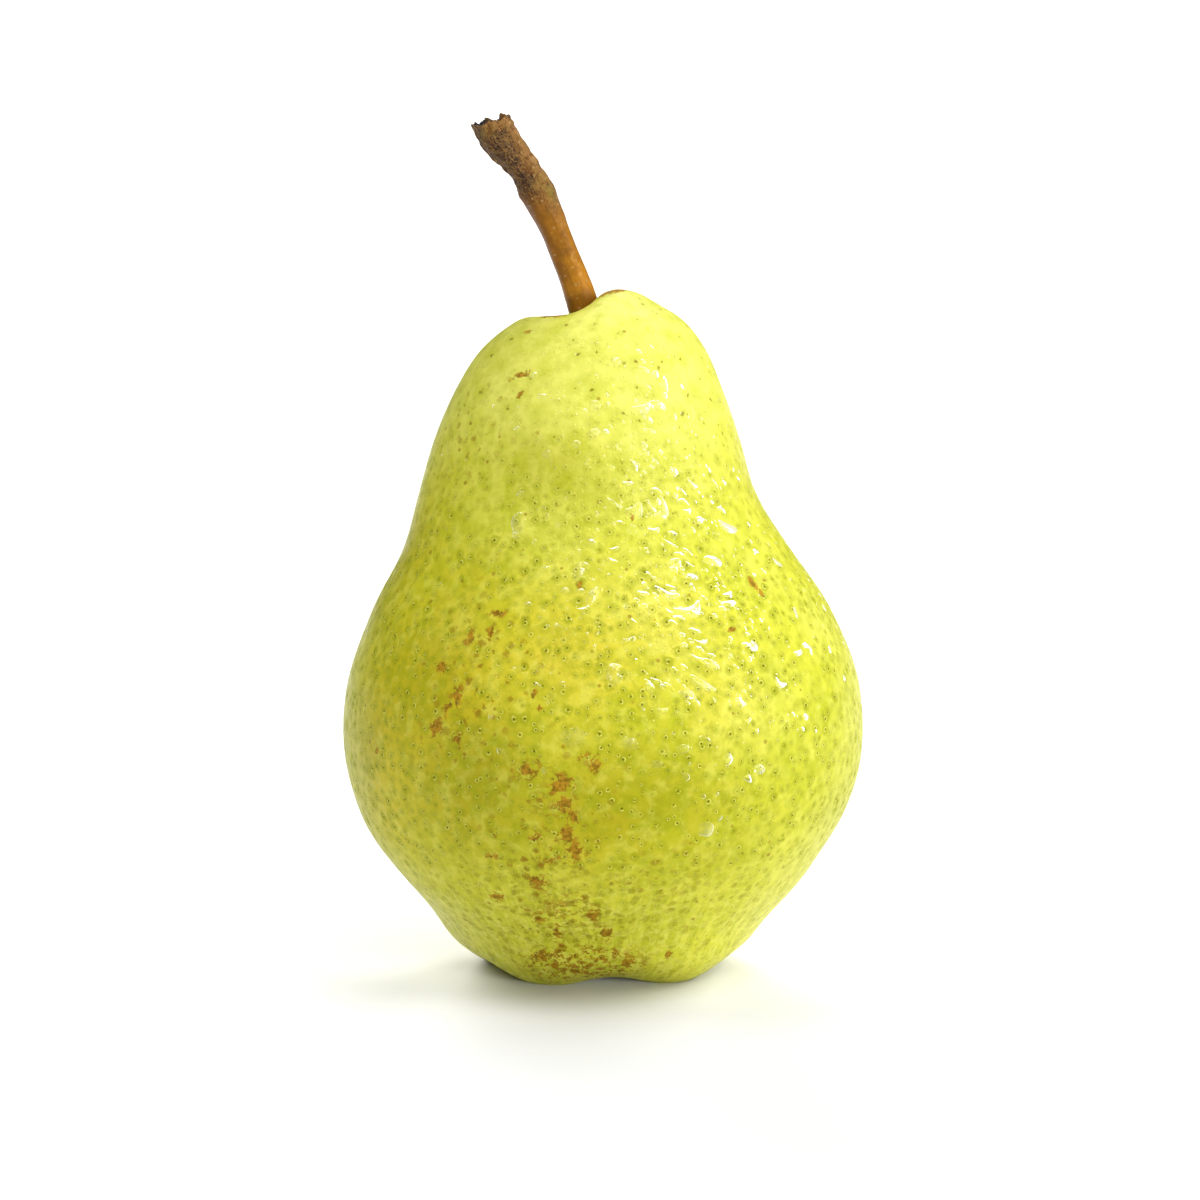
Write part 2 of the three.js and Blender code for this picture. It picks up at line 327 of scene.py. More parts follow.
# Pores: the nearest of scattered centres, with the distance to it measured along the surface
# only. A pore whose centre lies far off the surface is left out. The halo's edge is ragged and
# the ring is broken by noise.
def makePores():
    tree, given, result = newGroup(
        "pores", {"Place": None, "Spacing": 1.4, "Dot": 0.12, "Ring": 0.4, "Halo": 0.8},
        ["Dot", "Ring", "Halo", "Chance"])
    scale = calc(tree, "DIVIDE", 1.0, given["Spacing"])
    spread = stretch(tree, given["Place"], scale)
    cells = put(tree, "TexVoronoi", {"Vector": spread, "Scale": 1.0, "Randomness": 0.9})
    gap = vector(tree, "SUBTRACT", spread, cells.outputs["Position"])
    normal = put(tree, "TexCoord").outputs["Normal"]
    off = vector(tree, "DOT_PRODUCT", gap, normal, "Value")
    flat = vector(tree, "SUBTRACT", gap, stretch(tree, normal, off))
    length = vector(tree, "LENGTH", flat, output="Value")
    distance = calc(tree, "MULTIPLY", length, given["Spacing"])
    near = fade(tree, calc(tree, "ABSOLUTE", off), 0.5, 0.3)
    chance = put(tree, "SeparateColor", {"Color": cells.outputs["Color"]}).outputs
    size = calc(tree, "MULTIPLY_ADD", chance[1], 0.8, 0.55)
    ragged = noiseOf(tree, spread, 2.2, 2.0)["Fac"]
    broken = noiseOf(tree, spread, 3.1, 0.0)["Fac"]

    def band(away, radius, outer, inner):
        edges = (calc(tree, "MULTIPLY", radius, share) for share in (outer, inner))
        return fade(tree, away, *edges)

    dot, ring, halo = (calc(tree, "MULTIPLY", given[title], size) for title in ("Dot", "Ring", "Halo"))
    uneven = calc(tree, "MULTIPLY", distance, calc(tree, "MULTIPLY_ADD", ragged, 1.6, 0.2))
    hoop = calc(tree, "SUBTRACT", band(distance, ring, 1.15, 0.8), band(distance, ring, 0.72, 0.42))
    covers = {
        "Dot": band(distance, dot, 1.0, 0.4),
        "Ring": calc(tree, "MULTIPLY", fade(tree, broken, 0.42, 0.62), hoop),
        "Halo": band(uneven, halo, 1.25, 0.0),
    }
    for title, cover in covers.items():
        tree.links.new(calc(tree, "MULTIPLY", cover, near), result[title])
    tree.links.new(chance[0], result["Chance"])
    return tree


# Veins: thin winding lines where noise of a given size passes its middle level.
def makeVeins():
    tree, given, result = newGroup("veins", {"Place": None, "Size": 1.0, "Thin": 0.02}, ["Mask"])
    scale = calc(tree, "DIVIDE", 1.0, given["Size"])
    noise = noiseOf(tree, given["Place"], scale, 3.0, 0.6)["Fac"]
    away = calc(tree, "ABSOLUTE", calc(tree, "SUBTRACT", noise, 0.5))
    mask = fade(tree, away, given["Thin"], calc(tree, "MULTIPLY", given["Thin"], 0.3))
    tree.links.new(mask, result["Mask"])
    return tree


# Fine unevenness for bumps: coarse and fine noise added, as a height in millimetres.
def makeGrain():
    tree, given, result = newGroup("grain", {"Place": None, "Size": 1.0, "Depth": 0.02}, ["Height"])
    scale = calc(tree, "DIVIDE", 1.0, given["Size"])
    coarse = noiseOf(tree, given["Place"], scale, 2.0)["Fac"]
    fine = noiseOf(tree, given["Place"], calc(tree, "MULTIPLY", scale, 4.5), 1.0)["Fac"]
    both = calc(tree, "MULTIPLY_ADD", fine, 0.35, coarse)
    tree.links.new(calc(tree, "MULTIPLY", both, given["Depth"]), result["Height"])
    return tree


mottle, pores, veins, grain = makeMottle(), makePores(), makeVeins(), makeGrain()


# Short forms for the nodes of one material: patches, pores and veins from the groups, the
# product of two values, and a value times a slope plus a start.
def shortForms(tree, usualDetail):
    def patches(where, size, low, high, detail=usualDetail):
        sockets = {"Place": where, "Size": size, "Low": low, "High": high, "Detail": detail}
        return useGroup(tree, mottle, sockets)["Mask"]

    def porous(where, spacing, dot, ring, halo):
        sockets = {"Place": where, "Spacing": spacing, "Dot": dot, "Ring": ring, "Halo": halo}
        return useGroup(tree, pores, sockets)

    def veined(where, size, thin):
        return useGroup(tree, veins, {"Place": where, "Size": size, "Thin": thin})["Mask"]

    def times(first, second):
        return calc(tree, "MULTIPLY", first, second)

    def scaled(value, slope, start):
        return calc(tree, "MULTIPLY_ADD", value, slope, start)

    return patches, porous, veined, times, scaled


# A material with one Principled shader.
def newMaterial(name):
    material = bpy.data.materials.new(name)
    material.use_nodes = True
    tree = material.node_tree
    tree.nodes.clear()
    output = tree.nodes.new("ShaderNodeOutputMaterial")
    shader = put(tree, "BsdfPrincipled")
    tree.links.new(shader.outputs[0], output.inputs["Surface"])
    return material, tree, shader


# Outputs that change over the surface are linked to the shader, plain values are set on it.
def feed(tree, shader, links, values):
    for key, socket in links.items():
        tree.links.new(socket, shader.inputs[key])
    for key, value in values.items():
        shader.inputs[key].default_value = value


# The normal of a surface raised by a height in millimetres.
def bumpFrom(tree, height):
    return put(tree, "Bump", {"Height": height, "Distance": mm, "Strength": 1.0}).outputs["Normal"]


# The skin's colours, from its ground to its marks, its gloss, and the distance between pores.
skinFinish = {
    "ground": (0.575, 0.572, 0.030), "ripe": (0.68, 0.520, 0.018), "fresh": (0.39, 0.43, 0.003),
    "deep": (0.33, 0.275, 0.003), "pale": (0.76, 0.735, 0.130), "crown": (0.75, 0.740, 0.140),
    "foot": (0.745, 0.730, 0.070), "faded": (0.82, 0.800, 0.170), "halo": (0.285, 0.305, 0.001),
    "ring": (0.84, 0.79, 0.15), "dot": (0.10, 0.085, 0.001), "blot": (0.225, 0.170, 0.001),
    "olive": (0.27, 0.250, 0.001), "rust": (0.26, 0.148, 0.001),
    "russet": (0.42, 0.205, 0.010), "russetDark": (0.19, 0.092, 0.001),
    "roughness": 0.33, "specular": 0.16, "refraction": 1.45, "porePitch": 1.42,
    "softness": 0.08, "softRadius": (0.9, 0.8, 0.25), "softDepth": 0.0015,     # light under the skin
}


# Waxy skin: the ground is mixed with each region's colour in turn, then with pores, blots,
# russet and fine beads of water, each by its own mask.
def skinMaterial():
    look = skinFinish
    material, tree, shader = newMaterial("pearSkin")
    place = readPlace(tree)
    russet, rusty, deep = (readAttribute(tree, name) for name in ("russet", "rusty", "deep"))
    ripe, fresh, faded = (readAttribute(tree, name) for name in ("ripe", "fresh", "faded"))
    crown, base, wet = (readAttribute(tree, name) for name in ("crown", "base", "wet"))
    meridian = readAttribute(tree, "meridian", "Vector")
    patches, porous, veined, times, scaled = shortForms(tree, 2.0)

    # places pushed about a little, for ragged edges
    wander = vector(tree, "SUBTRACT", noiseOf(tree, place, 1.6, 2.0)["Color"], (0.5, 0.5, 0.5))
    ragged = vector(tree, "ADD", place, stretch(tree, wander, 0.9))

    # broad colour: ground, darker, riper and greener regions, paler places that are partly painted sheen,
    # the paler crown
    broad, patch = patches(place, 11.0, 0.36, 0.64), patches(place, 3.4, 0.44, 0.66, 3.0)
    small, streak = patches(place, 0.95, 0.35, 0.7), patches(meridian, 0.8, 0.42, 0.62)
    fineStreak = patches(meridian, 0.22, 0.46, 0.66, 3.0)
    color = mixColor(tree, times(ripe, scaled(broad, 0.25, 0.7)), look["ground"], look["ripe"])
    color = mixColor(tree, times(crown, scaled(patch, -0.35, 0.95)), color, look["crown"])
    color = mixColor(tree, times(deep, 0.70), color, look["deep"])
    # paler skin, partly painted sheen where the light glances off the upper right
    color = mixColor(tree, times(faded, 0.5), color, look["faded"])
    notCrown = scaled(crown, -0.72, 1.0)
    color = mixColor(tree, times(times(patch, scaled(fresh, 0.6, 0.18)), notCrown), color, look["fresh"])
    color = mixColor(tree, times(times(broad, notCrown), 0.2), color, look["fresh"])
    cloud, fleece = patches(place, 1.9, 0.46, 0.66, 3.0), patches(ragged, 1.6, 0.44, 0.64, 4.0)
    color = mixColor(tree, times(cloud, 0.34), color, look["pale"])
    color = mixColor(tree, times(times(fleece, notCrown), scaled(deep, 0.34, 0.26)), color, look["halo"])
    color = mixColor(tree, times(small, 0.16), color, look["fresh"])
    color = mixColor(tree, times(base, 0.62), color, look["foot"])
    color = mixColor(tree, times(times(streak, base), 0.35), color, look["fresh"])
    color = mixColor(tree, times(times(fineStreak, base), 0.26), color, look["halo"])
    cream = times(veined(ragged, 2.6, 0.05), base)
    color = mixColor(tree, times(cream, 0.45), color, look["pale"])

    # pores of the belly: a green halo, a thin pale ring and a dark dot
    spots = porous(place, look["porePitch"], 0.14, 0.31, 0.92)
    body = times(scaled(crown, -0.85, 1.0), scaled(base, -0.75, 1.0))
    halo = times(times(spots["Halo"], body), scaled(times(spots["Chance"], spots["Chance"]), 0.62, 0.38))
    color = mixColor(tree, halo, color, look["halo"])
    ringed = times(times(spots["Ring"], body), fade(tree, spots["Chance"], 0.05, 0.6))
    color = mixColor(tree, times(ringed, 0.62), color, look["ring"])
    dot = times(times(spots["Dot"], body), fade(tree, spots["Chance"], 0.0, 0.7))
    color = mixColor(tree, times(dot, 0.9), color, look["dot"])

    # sparse brown dots of the neck, each in a faint green patch
    sparse = porous(ragged, 2.9, 0.26, 0.6, 1.7)
    color = mixColor(tree, times(times(sparse["Halo"], crown), 0.38), color, look["fresh"])
    neckDot = times(times(sparse["Dot"], crown), fade(tree, sparse["Chance"], 0.25, 0.5))
    color = mixColor(tree, times(neckDot, 0.85), color, look["blot"])

    # blots of the base and of the rusty regions
    blots, specks = patches(ragged, 1.35, 0.52, 0.63, 2.5), patches(ragged, 0.6, 0.6, 0.72, 2.0)
    flaws = porous(ragged, 1.6, 0.60, 0.7, 1.0)
    flawed = fade(tree, calc(tree, "ADD", flaws["Chance"], times(rusty, 0.3)), 0.48, 0.6)
    flaw = times(times(flaws["Dot"], flawed), scaled(rusty, 0.42, 0.40))
    blot = calc(tree, "MAXIMUM", times(blots, times(rusty, 0.55)), flaw)
    blot = times(blot, fade(tree, base, 0.0, 0.45))
    blotted = mixColor(tree, times(rusty, patches(place, 2.2, 0.42, 0.6)), look["olive"], look["blot"])
    color = mixColor(tree, times(blot, 0.95), color, blotted)
    speck = times(specks, calc(tree, "MAXIMUM", scaled(base, 0.42, 0.1), times(rusty, 0.7)))
    color = mixColor(tree, times(speck, 0.8), color, look["blot"])
    flecks = porous(ragged, 1.9, 0.55, 0.7, 1.0)
    flecked = fade(tree, calc(tree, "ADD", flecks["Chance"], times(rusty, 0.35)), 0.50, 0.60)
    fleck = times(times(flecks["Dot"], rusty), flecked)
    fleck = times(fleck, patches(ragged, 0.8, 0.36, 0.46))
    color = mixColor(tree, fleck, color, look["rust"])
    rare = porous(place, 4.3, 0.32, 0.5, 0.9)
    rareDot = times(rare["Dot"], fade(tree, rare["Chance"], 0.6, 0.7))
    color = mixColor(tree, times(rareDot, 0.7), color, look["rust"])

    # russet: the marks' cover broken up by noise, with thin arms where the cover is weak
    noise = noiseOf(tree, ragged, 1.25, 3.0, 0.6)["Fac"]
    rough = calc(tree, "ADD", times(russet, 1.35), times(calc(tree, "SUBTRACT", noise, 0.5), 2.8))
    patchy = times(fade(tree, rough, 0.66, 0.86), fade(tree, russet, 0.05, 0.25))
    arms = times(veined(ragged, 1.7, 0.055), fade(tree, russet, 0.12, 0.34))
    arms = times(arms, patches(place, 1.6, 0.40, 0.52))
    patchy = calc(tree, "MAXIMUM", patchy, arms)
    brown = mixColor(tree, patches(place, 0.5, 0.40, 0.58, 3.0), look["russetDark"], look["russet"])
    color = mixColor(tree, times(patchy, 0.9), color, brown)

    # mist: fine beads of water that cannot be told apart; their paler colour is a painted glint
    beads = porous(place, 0.85, 0.26, 0.3, 0.4)
    beadAndGlint = times(times(beads["Dot"], wet), fade(tree, beads["Chance"], 0.45, 0.6))
    color = mixColor(tree, times(beadAndGlint, 0.2), color, look["ring"])

    # dark marks are rougher than the skin between them
    dull = calc(tree, "MAXIMUM", calc(tree, "MAXIMUM", halo, blot), calc(tree, "MAXIMUM", patchy, speck))
    roughness = scaled(dull, 0.25, scaled(small, 0.06, look["roughness"]))
    roughness = scaled(beadAndGlint, -0.2, roughness)
    height = useGroup(tree, grain, {"Place": place, "Size": 0.85, "Depth": 0.05})["Height"]
    for mask, rise in ((spots["Ring"], 0.05), (dot, -0.06), (beadAndGlint, 0.07)):
        height = scaled(mask, rise, height)
    feed(tree, shader,
         {"Base Color": color, "Roughness": roughness, "Normal": bumpFrom(tree, height)},
         {"IOR": look["refraction"], "Specular IOR Level": look["specular"],
          "Subsurface Weight": look["softness"], "Subsurface Radius": look["softRadius"],
          "Subsurface Scale": look["softDepth"]})
    return material


# The stem's colours, golden below and bark above, and its gloss.
stemFinish = {
    "golden": (0.44, 0.178, 0.005), "goldenDark": (0.15, 0.054, 0.001), "goldenPale": (0.60, 0.310, 0.060),
    "bark": (0.155, 0.061, 0.008), "barkPale": (0.41, 0.222, 0.058), "barkRed": (0.110, 0.033, 0.007),
    "barkDark": (0.026, 0.010, 0.006), "moss": (0.22, 0.165, 0.020), "scar": (0.010, 0.009, 0.011),
    "wart": (0.42, 0.26, 0.10), "roughness": 0.40, "specular": 0.18, "refraction": 1.48,
}


# Woody stem: the smooth golden half and the bark are each mixed from clouds and fibres, and
# joined by the height, then come warts and the dark scar.
def stemMaterial():
    look = stemFinish
    material, tree, shader = newMaterial("stemBark")
    place = readPlace(tree)
    upper, dark, scar, green = (readAttribute(tree, name) for name in ("upper", "dark", "scar", "green"))
    fibre = readAttribute(tree, "fibre", "Vector")
    patches, porous, veined, times, scaled = shortForms(tree, 3.0)

    # smooth golden lower half, with soft darker clouds, fine lengthwise lines, and painted shade down its
    # left side
    cloudy, lines = patches(place, 2.3, 0.35, 0.65), patches(fibre, 0.7, 0.38, 0.66)
    golden = mixColor(tree, times(cloudy, 0.6), look["golden"], look["goldenDark"])
    golden = mixColor(tree, times(lines, 0.28), golden, look["goldenDark"])
    golden = mixColor(tree, times(patches(place, 0.7, 0.55, 0.7), 0.45), golden, look["goldenPale"])
    # the dark mask holds dark patches, the darker foot and painted shade down the left side
    golden = mixColor(tree, times(dark, 0.7), golden, look["goldenDark"])

    # rough bark of the upper half: reddish and dark clouds, with painted shade down the left side, under a
    # net of pale fibres
    coarse, fine = patches(place, 1.1, 0.42, 0.60, 4.0), patches(place, 0.42, 0.44, 0.62, 4.0)
    # dark patches of the bark, together with painted shade down the left side
    darker = scaled(dark, 0.31, noiseOf(tree, place, 0.9, 5.0, 0.65)["Fac"])
    bark = mixColor(tree, times(coarse, 0.55), look["bark"], look["barkPale"])
    bark = mixColor(tree, times(fine, 0.5), bark, look["barkRed"])
    bark = mixColor(tree, times(dark, 0.5), bark, look["barkRed"])
    bark = mixColor(tree, times(fade(tree, darker, 0.58, 0.76), 0.94), bark, look["barkDark"])
    bark = mixColor(tree, times(veined(place, 0.75, 0.03), 0.5), bark, look["barkPale"])
    bark = mixColor(tree, times(patches(fibre, 0.45, 0.50, 0.66), 0.40), bark, look["barkDark"])
    bark = mixColor(tree, times(veined(fibre, 0.6, 0.04), 0.45), bark, look["barkPale"])
    bark = mixColor(tree, times(green, times(coarse, 0.8)), bark, look["moss"])
    color = mixColor(tree, upper, golden, bark)

    warts = porous(place, 1.5, 0.24, 0.34, 0.5)
    chosen = fade(tree, warts["Chance"], 0.5, 0.65)
    color = mixColor(tree, times(times(warts["Dot"], chosen), 0.6), color, look["wart"])
    color = mixColor(tree, scar, color, look["scar"])

    height = useGroup(tree, grain, {"Place": fibre, "Size": 0.8, "Depth": 0.05})["Height"]
    knobbly = useGroup(tree, grain, {"Place": place, "Size": 0.5, "Depth": 0.34})["Height"]
    height = scaled(knobbly, scaled(upper, 0.85, 0.15), height)
    height = scaled(times(warts["Ring"], chosen), 0.06, height)
    feed(tree, shader,
         {"Base Color": color, "Roughness": scaled(upper, 0.12, look["roughness"]),
          "Normal": bumpFrom(tree, height)},
         {"IOR": look["refraction"], "Specular IOR Level": look["specular"]})
    return material


# The calyx: its colours and its dull surface.
calyxFinish = {
    "brown": (0.10, 0.050, 0.020), "dark": (0.022, 0.013, 0.008), "grey": (0.19, 0.13, 0.075),
    "roughness": 0.8,
}


# Dried leaf: dark blotches on brown, with fine grey flecks.
def calyxMaterial():
    look = calyxFinish
    material, tree, shader = newMaterial("driedCalyx")
    place = readPlace(tree)
    patches, _, _, times, _ = shortForms(tree, 2.0)
    color = mixColor(tree, patches(place, 1.1, 0.35, 0.65, 4.0), look["brown"], look["dark"])
    color = mixColor(tree, times(patches(place, 0.35, 0.5, 0.7), 0.5), color, look["grey"])
    height = useGroup(tree, grain, {"Place": place, "Size": 0.4, "Depth": 0.09})["Height"]
    feed(tree, shader,
         {"Base Color": color, "Normal": bumpFrom(tree, height)},
         {"Roughness": look["roughness"]})
    return material


# Clear water: what is behind shows through it, and its surface swells a little.
def waterMaterial():
    material, tree, shader = newMaterial("clearWater")
    swell = useGroup(tree, grain, {"Place": readPlace(tree), "Size": 1.6, "Depth": 0.05})["Height"]
    feed(tree, shader, {"Normal": bumpFrom(tree, swell)},
         {"Base Color": (1, 1, 1, 1), "Roughness": 0.0, "IOR": 1.33, "Transmission Weight": 1.0,
          "Specular IOR Level": 0.2})
    return material


# What lies on the skin. A spot has its place as seen from the front, x to the right and z up,
# then half width, half height, turn in degrees and strength.
skinMarks = {
    "russet": [
        [-13.8, 51.9, 1.1, 0.35, -8, 1.0], [-17.6, 48.6, 0.6, 0.9, 20, 1.05],
        [-14.5, 49.1, 0.65, 0.85, 0, 1.05], [-20.9, 44.5, 0.6, 0.65, 0, 1.2],
        [-18.8, 41.1, 0.65, 1.1, 15, 1.15], [-20.4, 39.1, 0.5, 0.9, -25, 1.0],
        [-21.7, 36.8, 1.0, 0.8, 30, 1.25], [-19.2, 36.2, 1.0, 0.6, -40, 0.9],
        [-9.0, 41.7, 0.45, 1.0, 0, 1.05], [-8.4, 40.1, 0.4, 0.4, 0, 0.8],
        [-10.1, 32.1, 1.8, 0.9, 10, 0.9], [-5.5, 31.1, 1.4, 0.9, 20, 1.25],
        [-5.0, 28.1, 1.1, 1.0, 0, 1.2], [-3.7, 26.3, 0.5, 1.1, 10, 1.05],
        [-1.2, 33.2, 0.7, 0.9, 0, 0.8], [-2.3, 34.2, 0.8, 0.6, 40, 0.7],
        [-4.7, 24.4, 0.9, 0.9, 0, 1.1], [-8.8, 23.1, 0.6, 0.7, 30, 0.95],
        [-3.6, 21.8, 0.8, 1.3, 0, 1.1], [-7.0, 20.3, 1.2, 0.6, 0, 0.75],
        [-14.3, 20.4, 1.4, 0.3, -10, 0.8], [-8.6, 16.8, 1.0, 0.9, 20, 1.1],
        [-13.9, 14.2, 0.9, 0.7, 0, 0.95], [-8.4, 11.0, 0.7, 0.9, 0, 0.85],
        [-6.0, 8.7, 1.1, 0.9, 20, 0.8], [-1.5, 11.8, 0.8, 1.1, 0, 1.0],
        [0.3, 9.1, 1.0, 1.1, 25, 1.0], [-8.0, 5.4, 1.0, 0.9, 30, 0.95],
        [-6.3, 3.7, 1.3, 0.8, 0, 0.95], [-3.6, 2.9, 1.3, 0.7, 0, 0.9],
        [-0.6, 3.3, 1.3, 0.8, 0, 0.95], [-5.4, 6.8, 0.6, 0.9, 0, 0.8],
        [1.4, 5.6, 0.6, 1.0, -20, 0.8], [3.1, 4.0, 1.1, 0.9, 0, 0.95],
        [8.6, 5.2, 0.4, 0.4, 0, 1.9], [-9.9, 87.0, 0.5, 0.4, 0, 1.2],
        [-10.8, 81.3, 1.2, 0.45, 15, 1.15], [-10.9, 79.4, 0.5, 0.5, 0, 1.05],
        [19.4, 55.0, 0.35, 0.55, 38, 1.5], [20.1, 54.2, 0.3, 0.6, 30, 1.5],
        [20.7, 53.2, 0.25, 0.5, 30, 1.4], [-29.8, 32.8, 0.35, 0.6, 0, 0.9],
        [-3.0, 55.4, 0.3, 0.3, 0, 1.1], [3.7, 63.3, 0.4, 0.22, 0, 1.1],
        [16.7, 49.7, 0.5, 0.25, 0, 1.1], [-6.7, 88.9, 1.5, 0.7, 0, 1.5],
        [1.2, 91.7, 2.0, 0.8, 0, 1.5],
    ],
    # wide, thin russet in which only scattered flecks come through
    "clouds": [
        [-2.8, 3.6, 9.2, 4.5, 0, 0.54], [-4.5, 12.5, 9.2, 8.0, 0, 0.27],
        [-6.5, 26.5, 5.8, 10.4, 0, 0.24], [-18.5, 42.0, 5.2, 11.5, 15, 0.20],
    ],
    # darker, warmer, greener and paler skin; the paler places are partly painted sheen
    "deep": [
        [3.0, 28.0, 16, 8, 0, 1.0], [-16.0, 31.0, 10, 10, 0, 1.15], [12.0, 20.0, 12, 6, 0, 0.7],
        [-14.0, 56.0, 6, 6, 0, 0.2], [-6.0, 69.5, 8, 5.0, 0, 0.7], [-17.0, 69.0, 8, 5.0, 0, 0.2],
        [-23.0, 44.0, 9, 11, 0, 0.75], [-28.0, 53.0, 6, 7, 0, 0.6], [-31.0, 34.0, 5, 12, 0, 0.5],
        [12.0, 30.0, 8, 6, 0, 0.4],
    ],
    "ripe": [
        [-20.0, 40.0, 12, 20, 0, 1.15], [-6.0, 47.0, 12, 11, 0, 1.1], [6.0, 50.0, 9, 8, 0, 0.7],
        [-29.0, 34.0, 10, 20, 0, 1.0], [-2.0, 26.0, 11, 11, 0, 0.8], [14.0, 42.0, 9, 7, 0, 0.5],
        [-24.0, 60.0, 8, 10, 0, 0.6],
    ],
    "fresh": [
        [-14.0, 66.0, 9, 8, 0, 0.8], [-2.0, 66.0, 10, 6, 0, 0.65], [-16.0, 56.0, 8, 5, 20, 0.4],
        [4.0, 40.0, 9, 5, 0, 0.6], [10.0, 22.0, 13, 8, 0, 0.6], [27.0, 34.0, 8, 12, 0, 0.5],
        [-12.0, 30.0, 13, 8, 0, 0.4], [16.0, 56.0, 8, 4, -30, 0.5], [2.0, 8.0, 20, 6, 0, 0.4],
    ],
    # paler skin, and painted sheen where the light glances off the belly's upper right and the neck's
    # right side
    "faded": [
        [6.0, 53.0, 10, 8, 0, 0.75], [21.0, 56.0, 8, 8, 0, 0.75], [28.0, 49.0, 6, 7, 0, 1.1],
        [-6.0, 58.0, 8, 6, 0, 0.7], [20.0, 39.0, 8, 8, 0, 0.6], [-1.0, 66.0, 10, 6, 0, 0.4],
        [22.0, 19.0, 7, 7, 0, 0.5], [10.0, 79.0, 9, 9, 0, 0.8], [-5.0, 47.0, 8, 9, 0, 0.45],
        [-20.6, 28.1, 0.8, 0.8, 0, 1.2], [-8.0, 62.0, 8, 6, 0, 0.95],
        [-18.0, 51.0, 6, 6, 0, 0.35],
    ],
    # where the pores turn into small brown blots
    "rusty": [
        [-16.0, 43.0, 9, 13, 15, 0.85], [-20.0, 36.0, 6, 6, 0, 0.8], [-7.0, 30.0, 9, 7, 0, 0.8],
        [-8.0, 20.0, 9, 8, 0, 0.9], [-5.0, 11.0, 11, 8, 0, 0.88], [-3.0, 3.0, 12, 4, 0, 1.0],
        [4.0, 17.0, 9, 7, 0, 0.6], [-17.0, 74.0, 7, 9, 20, 0.6], [14.0, 12.0, 9, 6, 0, 0.35],
    ],
    # how many more of each kind lie round the back, in the order in which they are drawn
    "hidden": {"russet": 60, "deep": 3, "ripe": 5, "fresh": 9, "rusty": 9, "faded": 6},
    "spread": 1.15,                         # how far a russet mark reaches, against its size
    "basinRusset": 0.62,                    # strength of the russet in the calyx basin
    "seed": 5,
}


# Marks of one kind: those placed on the front, and random ones over the rest of the skin.
def spotsWithHidden(marks, count, seed):
    rng = np.random.default_rng(seed)
    shares, angles = frontPlaces(marks)
    behind = scatterPlaces(count, seed, lambda points: smooth(4, 12, points[..., 1]))
    likeness = rng.integers(0, len(marks), count)
    looks = np.array(marks)[:, 2:]
    hidden = looks[likeness] * np.array([1, 1, 1, 0.9])      # a little weaker than in front
    return np.append(shares, behind[0]), np.append(angles, behind[1]), np.vstack([looks, hidden])


# The skin piece: the grid of points, with the cover of each kind of mark, how far each point is
# up the foot and the crown, how wet it is, and its place along the meridians stored on it.
def makeSkin():
    piece = closedMesh("pear_skin", [gridPoints])
    points = gridPoints
    angle = np.broadcast_to(gridAngles[None, :], points.shape[:2])
    share = np.broadcast_to(gridShares[:, None], points.shape[:2])
    ringRadius = alongCurve(fruit["outline"], share)[..., 0]
    height = points[..., 2]
    for offset, (name, count) in enumerate(skinMarks["hidden"].items()):
        seed = skinMarks["seed"] + offset
        shares, angles, looks = spotsWithHidden(skinMarks[name], count, seed)
        if name == "russet":
            looks = looks * np.array([skinMarks["spread"], skinMarks["spread"], 1, 1])
        cover = spotCover(points, shares, angles, looks)
        if name == "russet":
            cloudLooks = np.array(skinMarks["clouds"])[:, 2:]
            clouds = spotCover(points, *frontPlaces(skinMarks["clouds"]), cloudLooks)
            basin = skinMarks["basinRusset"] * (1 - smooth(4, 9, ringRadius)) * (height < 30)
            cover = np.maximum(cover, np.maximum(clouds, aroundStem(points)))
            cover = np.maximum(cover, basin)
        storeAttribute(piece, name, inMeshOrder(cover))
    meridian = np.stack([np.cos(angle) * 11, np.sin(angle) * 11, share * 9], -1)
    storeAttribute(piece, "meridian", inMeshOrder(meridian))
    storeAttribute(piece, "base", inMeshOrder(1 - smooth(9, 25, height)))
    storeAttribute(piece, "crown", inMeshOrder(smooth(55, 82, height)))
    storeAttribute(piece, "wet", inMeshOrder(wetness(points)))
    addSkinMap(piece)
    return piece


# How wet the skin is: more so higher up and to the right, less on the very sides.
def wetness(points):
    x, height = points[..., 0], points[..., 2]
    turned = x / (np.hypot(x, points[..., 1]) + 1e-6)
    aside = (1 - 0.85 * smooth(0.55, 0.85, turned)) * (1 - 0.95 * smooth(0.5, 0.7, -turned))
    high = (1 - 0.6 * smooth(74, 84, height)) * (1 - 0.95 * smooth(84, 88, height))
    return smooth(22, 56, height) * high * (0.12 + 0.88 * smooth(-16, 6, x)) * aside


# Brown ring where the skin meets the stem: the closer to the stem's side, the stronger.
def aroundStem(points):
    line = np.array(stem["line"])[:4]
    foot, top = line[0, :3], line[3, :3]
    way = (top - foot) / np.linalg.norm(top - foot)
    gap = points - foot
    off = np.linalg.norm(gap - (gap @ way)[..., None] * way, axis=-1) - line[1, 3]
    return 1.3 * (1 - smooth(0.2, 1.6, off)) * (points[..., 2] > 60)


